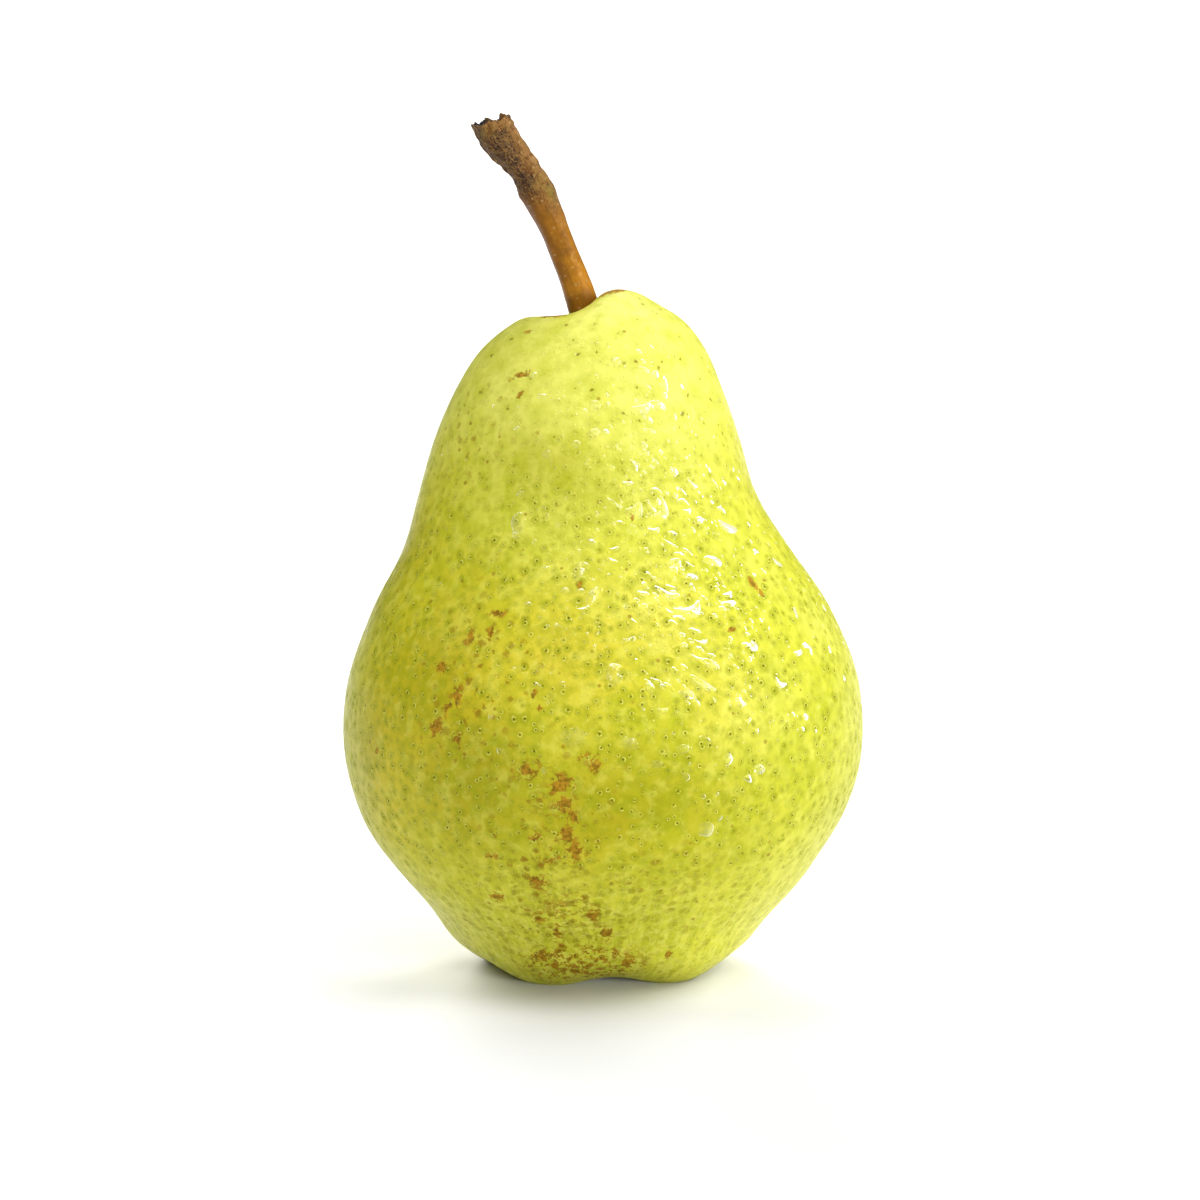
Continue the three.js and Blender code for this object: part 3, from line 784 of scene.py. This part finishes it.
# The skin laid out flat: across by angle, up by the distance along the outline.
def addSkinMap(piece):
    rows, columns = gridPoints.shape[:2]
    steps = np.linalg.norm(np.diff(gridPoints.mean(1), axis=0), axis=1)
    radii = np.hypot(gridPoints[..., 0] - gridPoints[..., 0].mean(1, keepdims=True),
                     gridPoints[..., 1] - gridPoints[..., 1].mean(1, keepdims=True)).mean(1)
    lengths = np.hypot(steps, np.diff(radii))
    up = np.concatenate([[0], np.cumsum(lengths)])
    up = up / up[-1]
    column = np.arange(columns)
    left, right = column / columns, (column + 1) / columns
    low, high = up[1:-2, None], up[2:-1, None]
    ones = np.ones((rows - 3, 1))
    middle = (left + right) / 2

    def corners(*pairs):
        spots = [np.stack(np.broadcast_arrays(across, along), -1) for across, along in pairs]
        return np.stack(spots, -2).reshape(-1, 2)

    quads = corners((ones * left, low), (ones * right, low), (ones * right, high), (ones * left, high))
    bottom = corners((middle, 0.0), (right, up[1]), (left, up[1]))
    top = corners((middle, 1.0), (left, up[-2]), (right, up[-2]))
    layer = piece.data.uv_layers.new(name="OFBake")
    layer.uv.foreach_set("vector", np.vstack([quads, bottom, top]).astype(np.float32).ravel())


# What a user would change of the stem.
stem = {
    # middle line from the foot in its socket to the broken end: x, y, z, radius
    "line": [
        [-1.5, 2.3, 83.0, 2.1], [-2.0, 2.3, 86.2, 2.12], [-2.8, 2.2, 89.8, 2.1], [-4.0, 2.1, 93.4, 1.97],
        [-5.45, 2.0, 97.1, 1.88], [-6.85, 1.9, 100.6, 1.93], [-8.6, 1.7, 104.4, 2.27],
        [-10.2, 1.6, 107.4, 2.15], [-12.1, 1.5, 109.9, 2.25], [-13.75, 1.4, 112.0, 2.62],
        [-14.75, 1.4, 114.0, 2.65],
    ],
    "ridges": 5, "ridgeShare": 0.03,
    "slant": 0.5, "slantAngle": 200,
    # swellings: share along the stem, angle round it (0 right, 90 front), height, length, width
    "knobs": [
        [0.63, 180, 0.22, 0.025, 35], [0.61, 5, 0.2, 0.03, 40], [0.51, 12, 0.16, 0.018, 30],
        [0.50, 70, 0.14, 0.010, 16], [0.42, 95, 0.07, 0.008, 12], [0.24, 85, 0.07, 0.006, 10],
        [0.69, 60, 0.10, 0.012, 18], [0.80, 120, 0.12, 0.020, 25], [0.57, -110, 0.20, 0.02, 30],
        [0.73, -60, 0.15, 0.02, 25],
    ],
    # splinters on the broken rim: angle, height, half width in degrees
    "splinters": [
        [-150, 0.62, 13], [-124, 0.30, 9], [-102, 0.72, 12], [-176, 0.45, 10], [165, 0.60, 13],
        [145, 0.40, 10], [-52, 0.85, 11], [-20, 0.35, 12], [40, 0.55, 18], [12, 0.40, 12],
        [95, 0.55, 32],
    ],
    "fray": 0.07,                           # unevenness from one point of the rim to the next
    "hollow": 1.3, "hollowRough": 0.26,     # how deep the broken end is hollowed, and how rough
    "wrinkles": 0.05, "fineWrinkles": 0.045,
    "steps": 330, "sides": 128,
    "seed": 23,
}


# The angle left from one direction to another, between minus and plus half a turn.
def turnFrom(angle, degrees):
    return np.angle(np.exp(1j * (angle - math.radians(degrees))))


# The stem: rings carried along its line, square to it, each with soft ridges, knobs and fine
# wrinkles; the broken end's rim stands up in splinters round a hollow.
def stemGrid():
    shape = stem
    rng = np.random.default_rng(shape["seed"])
    angle = np.arange(shape["sides"]) * fullTurn / shape["sides"]
    outside = np.linspace(0, 1, shape["steps"])
    inward = np.array([0.97, 0.90, 0.80, 0.72, 0.66, 0.60, 0.45, 0.25, 0.0])
    depth = np.array([-0.05, 0.02, 0.25, 0.6, 0.85, 0.95, 1.0, 0.95, 0.9]) * shape["hollow"]
    share = np.concatenate([[0], outside, np.ones(len(inward))])[:, None]
    reach = np.concatenate([[0], np.ones(len(outside)), inward])[:, None]
    sink = np.concatenate([np.zeros(1 + len(outside)), depth])[:, None]

    line, before, after = (alongCurve(shape["line"], share[:, 0] + step) for step in (0, -1e-3, 1e-3))
    along = unit((after - before)[:, :3])
    front = np.array([0, -1.0, 0])
    toFront = unit(front - (along @ front)[:, None] * along)
    toRight = np.cross(along, toFront)

    ridge = 1 + shape["ridgeShare"] * np.cos(shape["ridges"] * angle[None, :] + 3 * share)
    radius = line[:, 3:4] * ridge
    for place, turn, height, length, width in shape["knobs"]:
        aside = turnFrom(angle[None, :], turn) / math.radians(width)
        radius = radius + height * np.exp(-((share - place) / length) ** 2 - aside ** 2)
    around = np.stack([np.cos(angle) * 2, np.sin(angle) * 2, 0 * angle], -1)
    tall = np.array([0, 0, 30.0])
    spot = around[None, :, :] + share[..., None] * tall
    rough = smooth(0.45, 0.75, share)
    lengthwise = spot * np.array([1, 1, 0.12])
    radius = radius + shape["wrinkles"] * ripples(spot, 1.7, 3) * (0.35 + rough)
    radius = radius + shape["wrinkles"] * ripples(lengthwise, 0.9, 4) * (0.4 + 0.6 * rough)
    radius = radius + shape["fineWrinkles"] * ripples(spot, 0.8, 5) * rough

    slant = shape["slant"] * np.cos(angle - math.radians(shape["slantAngle"]))
    splinters = sum(
        height * np.exp(-(turnFrom(angle, turn) / math.radians(width)) ** 2)
        for turn, height, width in shape["splinters"])
    splinters = splinters + shape["fray"] * rng.normal(size=angle.shape)
    rim = (slant + splinters)[None, :] * smooth(0.955, 1.0, share) * np.where(reach > 0.85, 1, reach * 0.6)
    shift = rim - sink
    flat = np.stack([reach * np.cos(angle), reach * np.sin(angle), 0 * reach * angle], -1) * 2.6
    inside = (1 - smooth(0.8, 0.95, reach)) * smooth(0.9, 1.0, share)
    shift = shift + shape["hollowRough"] * ripples(flat, 0.9, 6) * inside
    points = line[:, None, :3] + along[:, None, :] * shift[..., None]
    points = points + toRight[:, None, :] * (radius * reach * np.cos(angle))[..., None]
    points = points + toFront[:, None, :] * (radius * reach * np.sin(angle))[..., None]
    return points, share, reach, angle


# The stem piece, with masks stored on it: bark towards the top, darker and greener places, and
# the scar of the broken end. The darker places include painted shade down the left side. Each
# is a bell round a place, or a rise along the stem.
def makeStem():
    points, share, reach, angle = stemGrid()
    piece = closedMesh("pear_stem", [points])
    shareAll = np.broadcast_to(share, points.shape[:2])
    turn = np.degrees(turnFrom(angle, 0))[None, :]
    bark = smooth(0.50, 0.66, shareAll + 0.05 * np.cos(angle)[None, :])
    middle = 112 - 26 * (shareAll - 0.6) / 0.35
    dark = np.exp(-((turn - middle) / 34) ** 2)
    dark = dark * smooth(0.56, 0.66, shareAll) * (1 - smooth(0.93, 0.98, shareAll))
    foot = 0.75 * (1 - smooth(0.20, 0.27, shareAll + 0.012 * np.cos(2 * angle)[None, :]))
    duskyAndShade = 0.52 * smooth(0.28, 0.45, shareAll) * (1 - smooth(0.56, 0.66, shareAll))
    # painted shade: the stem's left side, away from the light, is darkened along its length
    shadedLeftSide = np.exp(-((turn - 160) / 42) ** 2) + np.exp(-((turn + 200) / 42) ** 2)
    duskyAndShade = duskyAndShade + shadedLeftSide * (0.65 * smooth(0.12, 0.25, shareAll) + 0.35 * smooth(0.5, 0.6, shareAll))
    plate = np.exp(-((turn + 128) / 40) ** 2) + 0.8 * np.exp(-((turn - 18) / 14) ** 2)
    scar = np.clip(plate * smooth(0.978, 0.992, shareAll), 0, 1)
    scar = np.maximum(scar, np.where(reach < 0.93, 0.35 + 0.65 * np.exp(-((turn + 150) / 60) ** 2), 0.0))
    green = np.exp(-((turn - 115) / 30) ** 2 - ((shareAll - 0.955) / 0.02) ** 2)
    green = green + 0.8 * np.exp(-((turn - 50) / 30) ** 2 - ((shareAll - 0.60) / 0.06) ** 2)
    # the dark mask: dark patches, the darker foot, and the dusky middle with painted shade on the left
    dark = np.maximum(dark, foot) + duskyAndShade
    for name, values in (("upper", bark), ("dark", dark), ("scar", scar), ("green", green)):
        storeAttribute(piece, name, inMeshOrder(np.broadcast_to(values, points.shape[:2])))
    fibre = np.broadcast_arrays(np.cos(angle)[None, :] * 6, np.sin(angle)[None, :] * 6, shareAll * 9)
    storeAttribute(piece, "fibre", inMeshOrder(np.stack(fibre, -1)))
    return piece


# What a user would change of the calyx.
calyx = {
    "eyeOutline": [[0.0, 5.5], [1.2, 5.3], [1.5, 4.1], [2.1, 4.3], [1.9, 7.4], [0.0, 7.4]],
    "sepals": 5, "sepalAngle": -85,
    # a sepal's middle line and half width: distance out, height, half width
    "sepalLine": [[1.5, 4.75, 0.75], [2.6, 3.75, 1.25], [4.3, 3.1, 1.1], [6.2, 2.6, 0.3]],
    "halfThickness": 0.3, "tipShare": 0.5,
    "stamens": 14, "stamenLength": 2.0, "stamenRadius": 0.11,
    "bladeSteps": 34, "sepalSides": 28, "stamenSides": 10, "eyeRings": 41, "eyeSides": 48,
    "seed": 31,
}


# A closed blade or thread: an oval carried along a line that lies in the upright plane at one
# turn round the axis, with its own half width and half thickness along the way.
def bladeGrid(line, halfWidth, halfThickness, turn, sides, curl=0.0, twist=0.0):
    steps = len(line)
    ahead = unit(np.gradient(line, axis=0))
    out = np.array([math.cos(turn), math.sin(turn)])
    side = np.array([-out[1], out[0], 0.0])
    middle = np.stack([line[:, 0] * out[0], line[:, 0] * out[1], line[:, 1]], -1)
    down = np.stack([ahead[:, 1] * out[0], ahead[:, 1] * out[1], -ahead[:, 0]], -1)
    oval = np.arange(sides) * fullTurn / sides
    wide = np.cos(oval)[None, :] * halfWidth[:, None]
    way = np.linspace(0, 1, steps)[:, None]
    thick = np.sin(oval)[None, :] * halfThickness[:, None] + curl * np.cos(oval)[None, :] ** 2 * way
    roll = twist * way
    wide, thick = wide * np.cos(roll) - thick * np.sin(roll), wide * np.sin(roll) + thick * np.cos(roll)
    return middle[:, None, :] + side * wide[..., None] + down[:, None, :] * thick[..., None]


# The calyx piece: the eye is its outline turned round the axis, the sepals are blades spread
# evenly round it, and the stamens are threads that hang from it.
def makeCalyx():
    shape = calyx
    rng = np.random.default_rng(shape["seed"])
    steps = np.linspace(0, 1, shape["bladeSteps"])
    ends = np.sqrt(np.clip(1 - (2 * steps - 1) ** 16, 0, 1))
    grids = []
    outline = np.array(shape["eyeOutline"])
    corners = np.arange(len(outline))
    finer = np.linspace(0, len(outline) - 1, shape["eyeRings"])
    radius, height = (np.interp(finer, corners, outline[:, k])[:, None] for k in (0, 1))
    turns = np.arange(shape["eyeSides"]) * fullTurn / shape["eyeSides"]
    ring = 1 + 0.05 * np.cos(5 * turns + 1) + 0.03 * np.cos(11 * turns)
    eye = radius * np.cos(turns) * ring, radius * np.sin(turns) * ring, height + 0 * turns
    grids.append(np.stack(eye, -1))
    for i in range(shape["sepals"]):
        path = alongCurve(shape["sepalLine"], steps)
        line = path[:, :2] + np.stack([0 * steps, rng.uniform(-0.25, 0.15) * steps ** 2], -1)
        wave = 1 + 0.10 * np.sin(9 * steps + rng.uniform(0, fullTurn))
        thickness = shape["halfThickness"] * (1 + (shape["tipShare"] - 1) * steps) * ends
        turn = math.radians(shape["sepalAngle"] + rng.uniform(-4, 4)) + i * fullTurn / shape["sepals"]
        curl, twist = rng.uniform(-0.35, -0.1), rng.uniform(-0.5, 0.5)
        width = path[:, 2] * wave * ends
        grids.append(bladeGrid(line, width, thickness, turn, shape["sepalSides"], curl, twist))
    for i in range(shape["stamens"]):
        turn = i * fullTurn / shape["stamens"] + rng.uniform(-0.15, 0.15)
        length = shape["stamenLength"] * rng.uniform(0.6, 1.0)
        bend = rng.uniform(0.2, 0.9)
        line = np.stack([1.15 - 0.75 * bend * steps ** 2, 5.3 - length * steps], -1)
        width = shape["stamenRadius"] * (1 + 1.3 * np.exp(-((steps - 0.93) / 0.06) ** 2)) * ends
        grids.append(bladeGrid(line, width, width, turn, shape["stamenSides"]))
    return closedMesh("pear_calyx", grids)


# What a user would change of the water.
water = {
    # drops on the front, placed as the marks are: x, z, half length, half width, turn, bend, height
    "drops": [
        [5.0, 77.5, 1.2, 0.50, 12, 0.25, 0.32], [7.2, 77.9, 1.2, 0.42, -14, -0.25, 0.30],
        [4.3, 64.2, 1.0, 0.7, 25, 0.5, 0.42], [7.7, 64.6, 1.3, 0.8, 50, 0.55, 0.40],
        [-11.1, 62.6, 0.75, 1.15, 0, 0.1, 0.45], [16.5, 61.2, 1.3, 0.55, -30, 0.3, 0.36],
        [14.5, 57.7, 1.1, 0.6, -22, -0.1, 0.42], [23.2, 56.3, 0.8, 0.28, -40, 0.3, 0.12],
        [-3.2, 57.4, 0.45, 1.1, -15, 0.15, 0.36], [-1.3, 53.8, 0.45, 1.2, -25, 0.1, 0.36],
        [8.2, 53.8, 1.2, 0.6, -25, 0.35, 0.40], [11.4, 52.0, 1.5, 0.65, 10, 0.6, 0.44],
        [16.6, 52.4, 0.9, 0.35, 0, 0.0, 0.30], [1.2, 44.5, 0.7, 1.15, 20, -0.6, 0.45],
        [13.8, 45.5, 1.0, 0.5, -25, 0.1, 0.36], [12.9, 43.1, 1.5, 0.6, -30, 0.2, 0.42],
        [10.6, 41.7, 0.8, 0.6, -50, 0.4, 0.40], [19.8, 47.4, 0.6, 0.5, 20, 0.0, 0.22],
        [23.2, 42.3, 0.8, 0.4, -35, 0.5, 0.16], [-3.9, 37.2, 1.25, 0.85, 10, 0.1, 0.42],
        [3.5, 36.4, 0.8, 0.6, -20, 0.2, 0.32], [10.1, 34.9, 0.7, 0.5, 10, 0.1, 0.30],
        [16.0, 33.0, 0.6, 0.6, 0, 0.0, 0.32], [20.4, 31.5, 0.7, 0.5, -30, 0.1, 0.20],
        [7.1, 33.4, 0.5, 0.45, 0, 0.0, 0.26], [13.4, 24.2, 0.85, 0.85, 0, 0.0, 0.20],
        [-1.0, 77.8, 0.6, 0.55, 0, 0.1, 0.34], [-1.2, 74.4, 0.6, 0.5, 15, 0.1, 0.32],
        [-3.6, 73.2, 0.45, 0.4, 0, 0.0, 0.28], [-7.4, 71.4, 0.4, 0.4, 0, 0.0, 0.26],
        [5.9, 74.2, 0.7, 0.35, -10, 0.1, 0.28], [5.6, 71.4, 0.5, 0.4, 20, 0.1, 0.28],
        [4.4, 70.3, 0.4, 0.35, 0, 0.0, 0.24], [9.2, 69.1, 0.5, 0.5, 0, 0.1, 0.28],
        [5.4, 82.2, 0.6, 0.4, -20, 0.1, 0.26], [6.8, 81.3, 0.5, 0.4, 15, 0.1, 0.26],
        [8.3, 80.3, 0.3, 0.9, 0, 0.1, 0.28], [1.8, 83.6, 0.45, 0.45, 0, 0.0, 0.28],
        [9.5, 57.4, 0.8, 0.55, 30, 0.2, 0.34], [9.2, 61.8, 0.5, 0.3, -10, 0.1, 0.26],
        [-1.5, 60.6, 0.35, 0.4, 0, 0.1, 0.26], [-5.1, 54.9, 0.4, 0.35, 0, 0.0, 0.26],
        [25.6, 50.2, 0.22, 0.7, -25, 0.2, 0.10], [27.5, 45.5, 0.22, 0.5, -20, 0.2, 0.08],
        [17.6, 40.2, 0.6, 0.5, 0, 0.1, 0.30],
    ],
    "spread": 1.35, "swell": 0.56,          # the drops above, drawn wider and lower
    "edge": 1.3,                            # how uneven their outlines are
    # kinds of drop: how many, radius from and to, rings, spokes, flatness (2 is a round cap, less
    # is more pointed), and the seeds of their places and outlines
    "front": {"rings": 7, "spokes": 34, "flatness": 1.5, "edgeSeed": 1},
    "back": {"count": 60, "rings": 7, "spokes": 34, "flatness": 1.5, "seed": 8, "edgeSeed": 2},
    "medium": {
        "count": 60, "size": [0.45, 0.85], "rings": 5, "spokes": 18, "flatness": 1.5,
        "seed": 12, "edgeSeed": 5, "slim": 0.6, "roundness": 0.26, "turn": [-55, 15], "bend": 0.5,
    },
    "small": {
        "count": 430, "size": [0.24, 0.6], "rings": 4, "spokes": 12, "flatness": 1.9,
        "seed": 9, "edgeSeed": 3, "smallest": 0.5,
    },
    "mist": {
        "count": 1200, "size": [0.09, 0.18], "rings": 3, "spokes": 8, "flatness": 1.9,
        "seed": 10, "edgeSeed": 4,
    },
    "wettest": [9.0, 51.0, 15.0],           # middle (x and z) and radius of the wettest part
    "roundness": 0.15,                      # height of a small drop as a share of its radius
    "sunk": 0.05,                           # how far a drop's rim dips under the skin
    "seed": 47,
}


# Wetness in the middle of the wettest part only.
def wettest(points):
    x, z, radius = water["wettest"]
    q = ((points[..., 0] - x) ** 2 + (points[..., 2] - z) ** 2) / radius ** 2
    return wetness(points) * np.exp(-q) * (points[..., 1] < 0)


# Drops: for each, rings of points from its top to its rim and a last one under it, laid on the
# skin. A drop's outline is an uneven oval, bent along its length, and its height above the
# skin falls from the middle to the rim as one less a power of the share of the way out.
def dropGrids(places, shapes, kind):
    rng = np.random.default_rng(kind["edgeSeed"])
    shares, angles = places
    count, rings, spokes = len(shares), kind["rings"], kind["spokes"]
    point, around, upward, _ = skinFrame(shares, angles)
    perAngle, perShare = np.linalg.norm(around, axis=-1), np.linalg.norm(upward, axis=-1)
    level = np.linspace(0, 1, rings + 1)
    reach = np.concatenate([np.sin(level * math.pi / 2), [0]])
    dome = np.concatenate([1 - np.sin(level * math.pi / 2) ** kind["flatness"], [0]])
    spoke = np.arange(spokes) * fullTurn / spokes
    uneven = np.ones((count, spokes))
    for waves in (2, 3, 4):
        size = rng.uniform(0, 0.2 / waves, (count, 1)) * shapes["uneven"][:, None]
        uneven += size * np.cos(waves * spoke + rng.uniform(0, fullTurn, (count, 1)))
    keys = ("length", "width", "turn", "bend", "height")
    length, width, turn, bend, height = (shapes[key][:, None, None] for key in keys)
    along = length * reach[None, :, None] * np.cos(spoke) * uneven[:, None, :]
    across = width * reach[None, :, None] * np.sin(spoke) * uneven[:, None, :]
    across = across + bend * along ** 2 / np.maximum(length, 1e-6)
    right = along * np.cos(turn) - across * np.sin(turn)
    up = along * np.sin(turn) + across * np.cos(turn)
    dropShares = shares[:, None, None] + up / perShare[:, None, None]
    dropAngles = angles[:, None, None] + right / perAngle[:, None, None]
    base, _, _, normal = skinFrame(dropShares, dropAngles)
    under = np.concatenate([np.where(level > 0.99, 1.0, 0.0), [1.6]])
    lift = height * dome[None, :, None] - water["sunk"] * under[None, :, None]
    return base + normal * lift[..., None]


# Random shapes for scattered drops of given sizes, a little longer than wide.
def dropShapes(sizes, rng):
    count = len(sizes)
    return {
        "length": sizes * rng.uniform(0.9, 1.35, count), "width": sizes * rng.uniform(0.75, 1.0, count),
        "turn": rng.uniform(0, math.pi, count), "bend": rng.uniform(-0.2, 0.2, count),
        "height": sizes * water["roundness"], "uneven": rng.uniform(0.3, 1.2, count),
    }


# Skin on the upper back.
def upperBack(points):
    return smooth(2, 10, points[..., 1]) * smooth(25, 45, points[..., 2])


# The water piece: the listed drops, drops like them on the back, and scattered ones of three
# sizes, medium, small and as fine as mist.
def makeWater():
    rng = np.random.default_rng(water["seed"])
    rows = np.array(water["drops"])
    front = {
        "length": rows[:, 2] * water["spread"], "width": rows[:, 3] * water["spread"],
        "turn": np.radians(rows[:, 4]), "bend": rows[:, 5],
        "height": rows[:, 6] * water["swell"], "uneven": np.full(len(rows), water["edge"]),
    }
    grids = list(dropGrids(frontPlaces(water["drops"]), front, water["front"]))
    kind = water["back"]
    like = rng.integers(0, len(rows), kind["count"])
    back = {key: values[like] for key, values in front.items()}
    grids.extend(dropGrids(scatterPlaces(kind["count"], kind["seed"], upperBack), back, kind))

    for name, where in (("medium", wettest), ("small", wetness), ("mist", wetness)):
        kind = water[name]
        count = kind["count"]
        sizes = rng.uniform(*kind["size"], count)
        if name == "small":
            sizes = sizes * rng.uniform(kind["smallest"], 1, count)
        shapes = dropShapes(sizes, rng)
        if name == "medium":
            shapes["width"], shapes["height"] = shapes["width"] * kind["slim"], sizes * kind["roundness"]
            shapes["turn"] = np.radians(rng.uniform(*kind["turn"], count))
            shapes["bend"] = rng.uniform(-kind["bend"], kind["bend"], count)
        grids.extend(dropGrids(scatterPlaces(count, kind["seed"], where), shapes, kind))
    return closedMesh("water_drops", grids)


# Gives a piece its material and its body, and hides the part of model.glb it stands for.
def finishPiece(piece, material, node=None):
    piece.data.materials.append(material)
    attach(piece, "root")
    if node:
        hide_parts(node)


print("skin")
finishPiece(makeSkin(), skinMaterial(), "fruit")
print("stem")
finishPiece(makeStem(), stemMaterial(), "stem")
print("calyx")
finishPiece(makeCalyx(), calyxMaterial(), "calyx")
print("water drops")
finishPiece(makeWater(), waterMaterial())


# What a user would change of the room, its lights and the camera.
studio = {
    "target": (-0.0004, 0.0, 0.0499), "distance": 0.72, "elevation": 8.0,
    "lens": 160.0, "sensor": 36.0,
    "floorRadius": 14.0, "floorSides": 96, "floorColor": (0.66, 0.66, 0.655),
    "ambient": 0.05,                        # glow of the room
    "dropShine": (0.95, 0.93, 0.62),        # the room as clear water mirrors it
    # soft lights: degrees to the right of the camera, degrees up, apparent width in degrees, and
    # the brightness they give a white card that faces them
    "fruitLights": {
        "key": [43, 40, 16, 0.27],
        "front": [14, 10, 80, 0.39],
        "side": [76, 15, 60, 0.77],
        "top": [0, 85, 50, 0.46],
        "back": [165, 55, 50, 0.46],
        "left": [-58, 16, 60, 0.18],
    },
    # the floor has lights of its own, so that the shadow stays close to the fruit
    "floorLights": {
        "floorBackLeft": [-165, 6, 30, 3.2],
        "floorBackRight": [150, 6, 30, 2.6],
        "floorFront": [30, 6, 30, 1.62],
        "floorRight": [120, 30, 30, 0.31],
        "floorHighRight": [68, 56, 34, 0.56],
        "floorHighLeft": [-105, 56, 30, 0.30],
    },
}


# A round, flat floor: one face with its corners on a circle.
def makeFloor():
    mesh = bpy.data.meshes.new("floor")
    sides, radius = studio["floorSides"], studio["floorRadius"]
    turns = np.arange(sides) * fullTurn / sides
    rim = np.stack([radius * np.cos(turns), radius * np.sin(turns), 0 * turns], -1)
    mesh.from_pydata(rim.tolist(), [], [list(range(sides))])
    floor = bpy.data.objects.new("floor", mesh)
    bpy.context.scene.collection.objects.link(floor)
    material, tree, shader = newMaterial("paleFloor")
    feed(tree, shader, {}, {
        "Base Color": (*studio["floorColor"], 1), "Roughness": 0.9, "Specular IOR Level": 0.2})
    mesh.materials.append(material)
    return floor


# White to the camera, also through clear water, less off its surface; a faint glow to the rest.
def makeWorld():
    world = bpy.data.worlds.new("studioWorld")
    world.use_nodes = True
    tree = world.node_tree
    tree.nodes.clear()
    output = tree.nodes.new("ShaderNodeOutputWorld")
    path = put(tree, "LightPath").outputs
    mirrored = calc(tree, "LESS_THAN", path["Is Transmission Ray"], path["Is Singular Ray"])
    clear = calc(tree, "MAXIMUM", path["Is Transmission Ray"], path["Is Singular Ray"])
    direct = calc(tree, "LESS_THAN", path["Diffuse Depth"], 0.5)
    seen = calc(tree, "MAXIMUM", path["Is Camera Ray"], calc(tree, "MULTIPLY", clear, direct))
    strength = calc(tree, "MULTIPLY_ADD", seen, 1.0 - studio["ambient"], studio["ambient"])
    color = mixColor(tree, mirrored, (1.0, 1.0, 1.0), studio["dropShine"])
    sky = put(tree, "Background", {"Color": color, "Strength": strength})
    tree.links.new(sky.outputs[0], output.inputs["Surface"])
    bpy.context.scene.world = world


# Puts a thing at a place and turns its front towards a target.
def aimAt(thing, place, target):
    thing.location = place
    thing.rotation_euler = (Vector(target) - Vector(place)).to_track_quat("-Z", "Y").to_euler()


# A soft light far away: its direction from two angles, its power pi times the card's brightness.
def makeLight(name, turn, rise, wide, brightness):
    light = bpy.data.lights.new(name, "SUN")
    light.angle = math.radians(wide)
    light.energy = math.pi * brightness
    lamp = bpy.data.objects.new(name, light)
    bpy.context.scene.collection.objects.link(lamp)
    turn, rise = math.radians(turn), math.radians(rise)
    place = (math.sin(turn) * math.cos(rise), -math.cos(turn) * math.cos(rise), math.sin(rise))
    aimAt(lamp, place, (0, 0, 0))
    return lamp


# The lights of one group, which light only the pieces given.
def lightGroup(name, pieces):
    lit = bpy.data.collections.new(name)
    for piece in pieces:
        lit.objects.link(piece)
    for title, values in studio[name].items():
        makeLight(title, *values).light_linking.receiver_collection = lit


# A long lens on the target, from a distance and an angle above the floor.
def makeCamera():
    data = bpy.data.cameras.new("camera")
    data.lens = studio["lens"]
    data.sensor_width = studio["sensor"]
    data.clip_start = 0.01
    data.clip_end = 50
    camera = bpy.data.objects.new("camera", data)
    bpy.context.scene.collection.objects.link(camera)
    tilt = math.radians(studio["elevation"])
    x, y, z = studio["target"]
    away = studio["distance"]
    aimAt(camera, (x, y - away * math.cos(tilt), z + away * math.sin(tilt)), studio["target"])
    bpy.context.scene.camera = camera


print("studio")
fruitPieces = [piece for piece in bpy.context.scene.objects if piece.type == "MESH"]
lightGroup("fruitLights", fruitPieces)
lightGroup("floorLights", [makeFloor()])
makeWorld()
makeCamera()
bpy.context.scene.view_settings.view_transform = "Standard"
